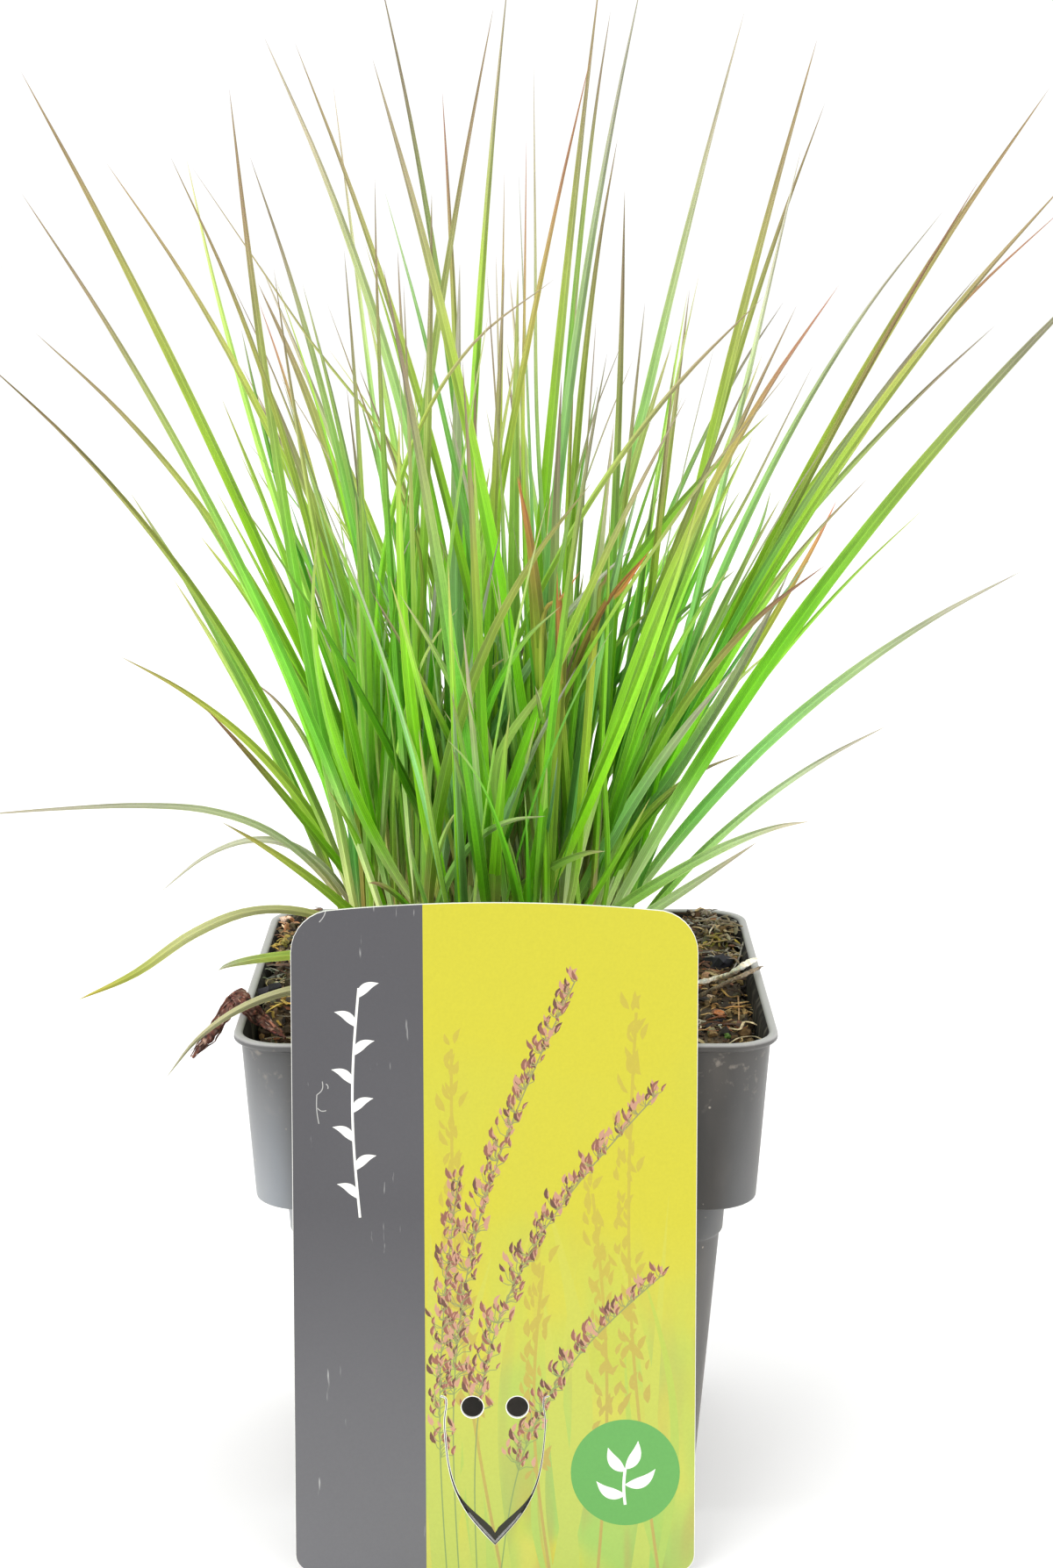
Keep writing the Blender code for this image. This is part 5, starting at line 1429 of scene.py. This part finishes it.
class MOORGRASS_OT_card(bpy.types.Operator):
    """Cut the plastic card with its holes and tongue, and print a plain design of leaves on it"""
    bl_idname = "moorgrass.card"
    bl_label = "Card"

    def execute(self, context):
        settings = context.scene.moorgrass_card
        line = tongue_line()
        outline, printed, slit, slit_margin, band, holes, rims = self.outlines(settings, line)
        motifs = self.design()
        # The painted shadow round the tongue's point lies over the cut, so that a pale line shows
        # below it
        widths = [SHADE_WIDTH * smoothstep(0.58, 0.97, (TONGUE_TOP - point.y) / TONGUE_LENGTH)
                  for point in line]
        raised = [point + Vector((0, 0.58 * width)) for point, width in zip(line, widths)]
        motifs.append((ribbon(raised, widths), "bruise"))
        flat, faces = triangulated([outline, printed, slit, slit_margin, band] + holes + rims
                                   + [polygon for polygon, _ in motifs])
        inks = self.inks(settings)
        kind_of = {name: kind for kind, name in enumerate(inks)}
        near = by_cell(motifs, kind_of)
        kept, kinds = [], []
        # Faces far from the card's edge and from its cuts need no test against those
        for face in faces:
            spot = sum((flat[i] for i in face), Vector((0, 0))) / len(face)
            rimmed = (abs(spot.x) > CARD_WIDTH / 2 - CARD_CORNER
                      or abs(spot.y - CARD_LENGTH / 2) > CARD_LENGTH / 2 - CARD_CORNER - CARD_ARCH)
            cut = abs(spot.x) < 1.3 * TONGUE_HALF and 0 < spot.y < 1.1 * TONGUE_TOP
            if rimmed and not inside(spot, outline):
                continue
            if cut and any(inside(spot, hole) for hole in [slit] + holes):
                continue
            kind = kind_of["band" if inside(spot, band) else "field"]
            for polygon, ink in near.get(cell_of(spot), ()):
                if inside(spot, polygon):
                    kind = ink
            bare = rimmed and not inside(spot, printed)
            if cut and kind != kind_of["bruise"]:
                bare = bare or any(inside(spot, rim) for rim in [slit_margin] + rims)
            if bare:
                kind = kind_of["bare"]
            kept.append(tuple(face))
            kinds.append(kind)
        self.build(settings, flat, kept, kinds, line, inks, kind_of)
        return {"FINISHED"}

    def outlines(self, settings, line):
        """The edges of the card and of its print, the tongue's cut and that cut's bare margin, the
        band, the holes and the holes' margins."""
        # The cut gapes towards the tongue's point, and its margin is wider on its left
        gaps = [settings.slit * (0.35 + 0.9 * ((TONGUE_TOP - point.y) / TONGUE_LENGTH) ** 3)
                for point in line]
        slit_margin = ribbon(line, [gap + (2.4 if point.x < 0 else 1.2) * settings.margin
                                   for point, gap in zip(line, gaps)])
        middles = [Vector((sign * HOLE_SIDE, TONGUE_TOP - HOLE_DROP)) for sign in (-1, 1)]
        edge = CARD_WIDTH * (BAND_SHARE - 0.5)
        # The band reaches past the card on three sides and leans a little on the fourth
        band = [Vector((-CARD_WIDTH, -CARD_LENGTH)), Vector((edge + 0.4 * MM, -CARD_LENGTH)),
                Vector((edge - 0.4 * MM, 2 * CARD_LENGTH)), Vector((-CARD_WIDTH, 2 * CARD_LENGTH))]
        return (card_outline(0), card_outline(settings.margin), ribbon(line, gaps), slit_margin,
                band, [circle(middle, HOLE_RADIUS) for middle in middles],
                [circle(middle, HOLE_RADIUS + 1.8 * settings.margin) for middle in middles])

    def inks(self, settings):
        """The printed colours by name: the band, the field, the motifs and the bare card."""
        yellow, lime, green = settings.yellow[:], settings.lime[:], settings.green[:]
        seed, core, band = settings.seed[:], settings.core[:], settings.band_top[:]
        dark, bright = linear("#38271a"), linear("#e1b595")
        patches = ((mixed(lime, green, 0.7), 20 * MM, 1, 0.8), (yellow, 12 * MM, 0.6, 0.9),
                   (mixed(seed, lime, 0.4), 3.5 * MM, 0.14, 0.55),
                   (mixed(lime, green, 0.8), 8 * MM, 0.25, 0.5))
        table = (
            ("band", band, settings.band_foot[:], (), 0.5),
            ("field", yellow, lime, patches),
            ("soft_leaf", mixed(yellow, lime, 0.3), mixed(lime, green, 0.25)),
            ("leaf", mixed(yellow, green, 0.22), mixed(lime, green, 0.45)),
            ("soft_seed", mixed(seed, yellow, 0.74), mixed(seed, lime, 0.5)),
            ("stem", mixed(seed, green, 0.35), mixed(seed, green, 0.6)),
            ("seed", mixed(seed, linear("#593827"), 0.35), seed),
            ("dark_seed", mixed(seed, dark, 0.7), mixed(seed, dark, 0.6)),
            ("bright_seed", mixed(seed, bright, 0.4), mixed(seed, bright, 0.6)),
            # Painted shadow in the gap at the tongue's point
            ("bruise", linear("#272716"), linear("#222116")),
            ("badge", linear("#5da050"), linear("#61a450")),
            ("white", core, core),
            ("scratch", mixed(band, core, 0.45), core),
            ("bare", core, core),
        )
        return {name: printed_card("ink_" + name, top, foot, *more)
                for name, top, foot, *more in table}

    def design(self):
        """Plain printed motifs in the card's plane, each with its ink: soft leaves, arching stems
        of seeds, a round badge with a sprout, a vine up the band, and scratches."""
        rng = Random(77)
        motifs = []
        field = (CARD_WIDTH * (BAND_SHARE - 0.5) + MM, CARD_WIDTH / 2 - 1.5 * MM)
        self.add_leaves(motifs, field, rng)
        self.add_stems(motifs, field, rng)
        badge = Vector(BADGE) * MM
        motifs.append((circle(badge, BADGE_RADIUS * MM, 64), "badge"))
        self.add_sprout(motifs, badge - Vector((0, 5.5)) * MM, 9.5 * MM)
        self.add_vine(motifs)
        for start, end, bow in CARD_SCRATCHES:
            scratch = arc(Vector(start) * MM, Vector(end) * MM, bow, 8)
            motifs.append((ribbon(scratch, 0.14 * MM), "scratch"))
        return motifs

    def add_leaves(self, motifs, field, rng):
        """Broad leaves that stand up from the card's foot, between the field's sides."""
        left, right = field
        for leaf in range(PRINTED_LEAVES):
            start = Vector((rng.uniform(left, right), rng.uniform(-2, 0.2) * MM))
            end = start + Vector((rng.uniform(-7, 7), rng.uniform(18, 66))) * MM
            end.x = max(left, min(right, end.x))
            path = arc(start, end, rng.uniform(-0.1, 0.1))
            motifs.append((leaf_outline(path, rng.uniform(1.0, 3.6) * MM, cut=True),
                           "leaf" if leaf % 4 == 3 else "soft_leaf"))

    def add_stems(self, motifs, field, rng):
        """Arching stems, each with bunches of seeds from its nodes."""
        left, right = field
        for start, end, bow, nodes, soft in PRINTED_STEMS:
            path = arc(Vector(start) * MM, Vector(end) * MM, bow, STEM_STEPS)
            motifs.append((ribbon(path, (0.5 if soft else 0.22) * MM),
                           "soft_seed" if soft else "stem"))
            for node in range(nodes):
                share = SEEDS_FROM + (1 - SEEDS_FROM) * node / (nodes - 1)
                spot = path[int(STEM_STEPS * share)]
                reach = (2.6 - 2.0 * (share - SEEDS_FROM)) * MM
                for _ in range(3 if soft else 5):
                    out = Vector((rng.uniform(-1, 1), rng.uniform(0.1, 1.1))) * reach
                    if left < spot.x + out.x < right:
                        self.add_seed(motifs, spot, spot + out, soft, rng)

    def add_vine(self, motifs):
        """A white vine up the band, with leaves to both sides in turn."""
        vine = arc(Vector((-CARD_WIDTH / 3, VINE_FOOT * MM)),
                   Vector((-CARD_WIDTH / 3, VINE_TOP * MM)), 0.03, 24)
        motifs.append((ribbon(vine, 0.4 * MM), "white"))
        for number, spot in enumerate(vine[2::3]):
            turn = 1 if number % 2 else -1
            leaf = arc(spot, spot + Vector((3.4 * turn, 2.4)) * MM, 0.15 * turn)
            motifs.append((leaf_outline(leaf, 1.5 * MM), "white"))

    def add_seed(self, motifs, spot, hang, soft, rng):
        """A seed on its little stalk, with a lighter flank, or else a soft blot."""
        length = rng.uniform(1.3, 2.3) * MM * (1.5 if soft else 1)
        way = Vector((rng.uniform(-0.7, 0.7), 1)).normalized() * length
        outline = leaf_outline(arc(hang, hang + way, 0.1, 4), rng.uniform(0.28, 0.4) * length)
        if soft:
            motifs.append((outline, "soft_seed"))
            return
        motifs.append((ribbon(arc(spot, hang, 0.15, 2), 0.14 * MM), "stem"))
        motifs.append((outline, rng.choice(("seed", "seed", "dark_seed", "bright_seed"))))
        flank = hang + Vector((0.10 * length, 0.12 * length))
        motifs.append((leaf_outline(arc(flank, flank + way * 0.66, 0.08, 3), 0.13 * length),
                       "bright_seed"))

    def add_sprout(self, motifs, foot, height):
        """A short white stem with four leaves."""
        up = Vector((0, height))
        motifs.append((ribbon(arc(foot, foot + up * 0.66, 0.04, 8), 0.05 * height), "white"))
        for start, reach, bow in ((0.18, (-0.5, 0.24), 0.16), (0.36, (0.52, 0.28), -0.16),
                                  (0.6, (-0.3, 0.42), 0.12), (0.64, (0.22, 0.5), -0.12)):
            path = arc(foot + up * start, foot + up * start + Vector(reach) * height, bow)
            motifs.append((leaf_outline(path, 0.2 * height), "white"))

    def build(self, settings, flat, kept, kinds, line, inks, kind_of):
        """Give the flat card its thickness, its cut edges and its lean."""
        tongue = line + [line[0]]
        point_of_tongue = ribbon(line[len(line) // 3:-len(line) // 3], 2 * MM)
        count = len(flat)
        points = []
        for depth in (0, CARD_THICK):
            for point in flat:
                back = 0.0
                if abs(point.x) < TONGUE_HALF and inside(point, tongue):
                    down = (TONGUE_TOP - point.y) / TONGUE_LENGTH
                    back = settings.bend * max(0.0, down) ** 2
                points.append(Vector((point.x, depth + back, point.y)))
        faces = list(kept) + [tuple(i + count for i in reversed(face)) for face in kept]
        kinds = kinds + [kind_of["bare"]] * len(kept)
        uses = {}
        for face in kept:
            for a, b in zip(face, face[1:] + face[:1]):
                uses.setdefault(frozenset((a, b)), []).append((a, b))
        for sides in uses.values():
            if len(sides) == 1:
                a, b = sides[0]
                faces.append((b, a, a + count, b + count))
                # The cut's walls at the tongue's point take the painted shadow too
                dark = inside((flat[a] + flat[b]) / 2, point_of_tongue)
                kinds.append(kind_of["bruise" if dark else "bare"])
        used = sorted({i for face in faces for i in face})
        fresh = {old: new for new, old in enumerate(used)}
        lean = Matrix.Translation(((CARD_LOW.x + CARD_HIGH.x) / 2, CARD_LOW.y,
                                   CARD_THICK * CARD_LEAN))
        lean = lean @ Matrix.Rotation(-atan2(CARD_LEAN, 1), 4, "X")
        shape = Shape()
        shape.points = [lean @ points[i] for i in used]
        shape.faces = [[fresh[i] for i in face] for face in faces]
        shape.paint = shape.place = [(0, 0, 0)] * len(used)
        shape.kinds = kinds
        shape.build("picture_card", list(inks.values()), "label_plastic", "plant_label", sharp=30)


# The loose bits' points: a pixel of the photograph, what the point rests on and its lift in mm.
# Where it hangs in the air, the last number is its depth along Y instead
STRIP_POINTS = (((325, 1183), "soil", 1.3), ((300, 1164), "soil", 2.9), ((280, 1144), "lip", 1.5),
                ((269, 1138), "lip", 1.4), ((247, 1170), "air", -25), ((219, 1205), "air", -27))
STALK_POINTS = (((793, 1121), "soil", 1.2), ((817, 1115), "soil", 1.7), ((832, 1110), "soil", 3.4),
                ((848, 1100), "lip", 0.9), ((865, 1091), "lip", 1.2))
TWIG_POINTS = (((793, 1137), "soil", 0.7), ((824, 1122), "soil", 3.6), ((848, 1111), "lip", 0.9),
               ((869, 1101), "lip", 0.7))
WEAR_SEED = 5
BARK_HUES = ("#6b4436", "#8d6252", "#b0907e", "#7a3f36", "#4a3028", "#2c1e1a")


class MOORGRASS_OT_litter(bpy.types.Operator):
    """Lay the loose bark strip, the dead straw and the twig over the rim"""
    bl_idname = "moorgrass.litter"
    bl_label = "Litter"

    def execute(self, context):
        soil = context.scene.moorgrass_soil
        heights = {"soil": SOIL_LEVEL + 1.3 * MM + 0.8 * soil.litter, "lip": POT_HEIGHT + 0.3 * MM}

        def laid(points):
            return [sight(pixel, lift * MM) if rest == "air"
                    else sight_down(pixel, heights[rest] + lift * MM)
                    for pixel, rest, lift in points]

        bark = [painted_matter("flaky_bark", 0.8 * MM, (1, 1, 0.3), 0.75, 0.2 * MM)]
        straw = [painted_matter("bleached_straw", 3 * MM, (0.3, 1, 1), 0.6, 0.08 * MM)]
        flaky = [linear(code) for code in BARK_HUES]
        # Name, node, path, half width and height in mm, colours, strands, flakes, material, slot
        pieces = (
            ("bark_strip_worn", "bark_strip", laid(STRIP_POINTS), (1.05, 0.68), flaky, 26, 60,
             bark, "bark"),
            ("bleached_straw", "dead_straw", laid(STALK_POINTS), (0.75, 0.45),
             [soil.straw[:], mixed(soil.straw[:], soil.fibre[:], 0.25)], 0, 0, straw,
             "dry_straw"),
            ("fine_twig", "brown_twig", laid(TWIG_POINTS), (0.4, 0.35),
             [soil.twig[:], mixed(soil.twig[:], soil.peat[:], 0.5)], 0, 8, bark, "bark"))
        # Without a seed the wear would start from the clock, and differ from run to run
        noise.seed_set(WEAR_SEED)
        for piece in pieces:
            self.add_stick(*piece)
        return {"FINISHED"}

    def add_stick(self, name, node, path, size, colours, strands, flakes, materials, slot):
        """A worn flat stick under torn strands, with flakes that stand off from it."""
        rng = Random(name)
        shape = Shape()
        seed = rng.uniform(0, 50)

        def section(share):
            ends = 0.35 + 0.65 * smoothstep(0, 0.08, share) * smoothstep(1.0, 0.9, share)
            swell = 1 + 0.4 * noise.fractal(Vector((share * 9, seed, 0)), 0.8, 2.0, 3)
            return size[0] * ends * swell * MM, size[1] * ends * swell * MM

        base = mixed(colours[0], colours[-1], 0.5)
        add_thread(shape, path, section, base, sides=10, steps=70)
        last = len(path) - 1
        for strand in range(strands):
            turn = tau * strand / strands + rng.uniform(-0.3, 0.3)
            start = rng.uniform(0, 0.25) * last
            end = rng.uniform(0.75, 1.03) * last
            line = []
            for step in range(9):
                middle = smooth(path, start + (end - start) * step / 8)
                spin = turn + 0.25 * step + rng.uniform(-0.25, 0.25)
                reach = size[0] * MM * rng.uniform(0.75, 1.15) * (0.4 if step in (0, 8) else 1)
                line.append(middle + Vector((cos(spin), 0.5 * sin(spin), sin(spin))) * reach)
            thin = rng.uniform(0.12, 0.34) * size[0] * MM
            add_thread(shape, line, lambda share, thin=thin: (
                thin * (0.3 + sin(pi * share)), 0.5 * thin * (0.4 + sin(pi * share))),
                varied(rng.choice(colours), rng, 0.4), sides=5, steps=40)
        for i, point in enumerate(shape.points):
            grain = noise.noise(point / (1.3 * MM) + Vector((seed, 0, 0)))
            shape.points[i] = point + noise.noise_vector(point / (0.9 * MM)) * 0.22 * size[0] * MM
            shape.paint[i] = varied(
                mixed(base, colours[int(3 * abs(grain) * len(colours)) % len(colours)],
                      min(1, 3 * abs(grain))), rng, 0.3)
        for _ in range(flakes):
            place = rng.uniform(0.1, last - 0.25)
            start = smooth(path, place)
            end = smooth(path, place + rng.uniform(0.12, 0.35))
            off = Vector((rng.gauss(0, 1), rng.gauss(0, 1), abs(rng.gauss(0, 1)))).normalized()
            off = off * size[0] * rng.uniform(0.5, 1.0) * MM
            thin = rng.uniform(0.08, 0.3) * size[0] * MM
            add_thread(shape, [start + off * 0.8, start.lerp(end, 0.5) + off, end + off * 1.15],
                       lambda share, thin=thin: (thin * (1.4 - share), thin * 0.5),
                       varied(rng.choice(colours), rng, 0.35), sides=4, steps=7)
        shape.build(name, materials, slot, node, sharp=40)


# The soft lights: place, share of the main light's power, and size; in metres
LIT_SPOT = Vector((0, 0, 0.12))
LIGHTS = (("main_softbox", (-0.7, -1.0, 1.4), 0.85, 0.9),
          ("side_softbox", (1.3, -0.7, 0.9), 0.25, 0.8),
          ("left_softbox", (-1.3, -0.3, 0.45), 0.7, 0.8),
          ("right_softbox", (1.2, 0.6, 0.45), 0.5, 0.8),
          ("back_softbox", (0.2, 1.3, 1.5), 0.6, 1.4))


class MOORGRASS_OT_stage(bpy.types.Operator):
    """Set up the pale floor, the soft lights, and the camera where the photograph was taken"""
    bl_idname = "moorgrass.stage"
    bl_label = "Stage"

    def execute(self, context):
        settings = context.scene.moorgrass_stage
        scene = context.scene
        scene.view_settings.view_transform = "Standard"
        edit = bmesh.new()
        bmesh.ops.create_circle(edit, cap_ends=True, radius=6, segments=64)
        mesh = bpy.data.meshes.new("studio_floor")
        edit.to_mesh(mesh)
        edit.free()
        mesh.materials.append(matte_floor(settings))
        floor = placed("studio_floor", mesh)
        floor.location.z = -0.2 * MM
        world = bpy.data.worlds.new("studio_surround")
        world.use_nodes = True
        backdrop = world.node_tree.nodes["Background"]
        backdrop.inputs["Color"].default_value = (1, 1, 1, 1)
        backdrop.inputs["Strength"].default_value = settings.surround
        scene.world = world
        for name, place, share, size in LIGHTS:
            light = bpy.data.lights.new(name, "AREA")
            light.size = size
            light.energy = settings.light * share
            lamp = placed(name, light)
            lamp.location = place
            way = LIT_SPOT - lamp.location
            lamp.rotation_euler = way.to_track_quat("-Z", "Y").to_euler()
        lens = bpy.data.cameras.new("photo_camera")
        lens.sensor_width = SENSOR
        lens.lens = SENSOR * FOCAL_PX / max(PHOTO_SIZE)
        lens.clip_start = 0.01
        camera = placed("photo_camera", lens)
        camera.location = EYE
        camera.rotation_euler = (pi / 2 - PITCH, 0, 0)
        scene.camera = camera
        return {"FINISHED"}


class MOORGRASS_PT_sidebar(bpy.types.Panel):
    """Lists the sizes, the colours and the steps that dress the plant"""
    bl_label = "Moor grass"
    bl_category = "Moor grass"
    bl_space_type = "VIEW_3D"
    bl_region_type = "UI"

    def draw(self, context):
        for name, group, operators in PARTS:
            box = self.layout.box()
            for operator in operators:
                box.operator(operator.bl_idname)
            settings = getattr(context.scene, "moorgrass_" + name)
            for field in group.__annotations__:
                box.prop(settings, field)


PARTS = (
    ("stage", StageSettings, (MOORGRASS_OT_stage,)),
    ("pot", PotSettings, (MOORGRASS_OT_pot,)),
    ("soil", SoilSettings, (MOORGRASS_OT_soil, MOORGRASS_OT_litter)),
    ("leaf", LeafSettings, (MOORGRASS_OT_crown, MOORGRASS_OT_shoots)),
    ("card", CardSettings, (MOORGRASS_OT_card,)),
)


def register():
    for name, group, operators in PARTS:
        for kind in (group, *operators):
            bpy.utils.register_class(kind)
        setattr(bpy.types.Scene, "moorgrass_" + name, bpy.props.PointerProperty(type=group))
    bpy.utils.register_class(MOORGRASS_PT_sidebar)


def unregister():
    bpy.utils.unregister_class(MOORGRASS_PT_sidebar)
    for name, group, operators in reversed(PARTS):
        delattr(bpy.types.Scene, "moorgrass_" + name)
        for kind in (*operators, group):
            bpy.utils.unregister_class(kind)


def main():
    register()
    bpy.ops.moorgrass.stage()
    bpy.ops.moorgrass.pot()
    bpy.ops.moorgrass.soil()
    bpy.ops.moorgrass.crown()
    bpy.ops.moorgrass.shoots()
    bpy.ops.moorgrass.card()
    bpy.ops.moorgrass.litter()


if __name__ == "__main__":
    main()
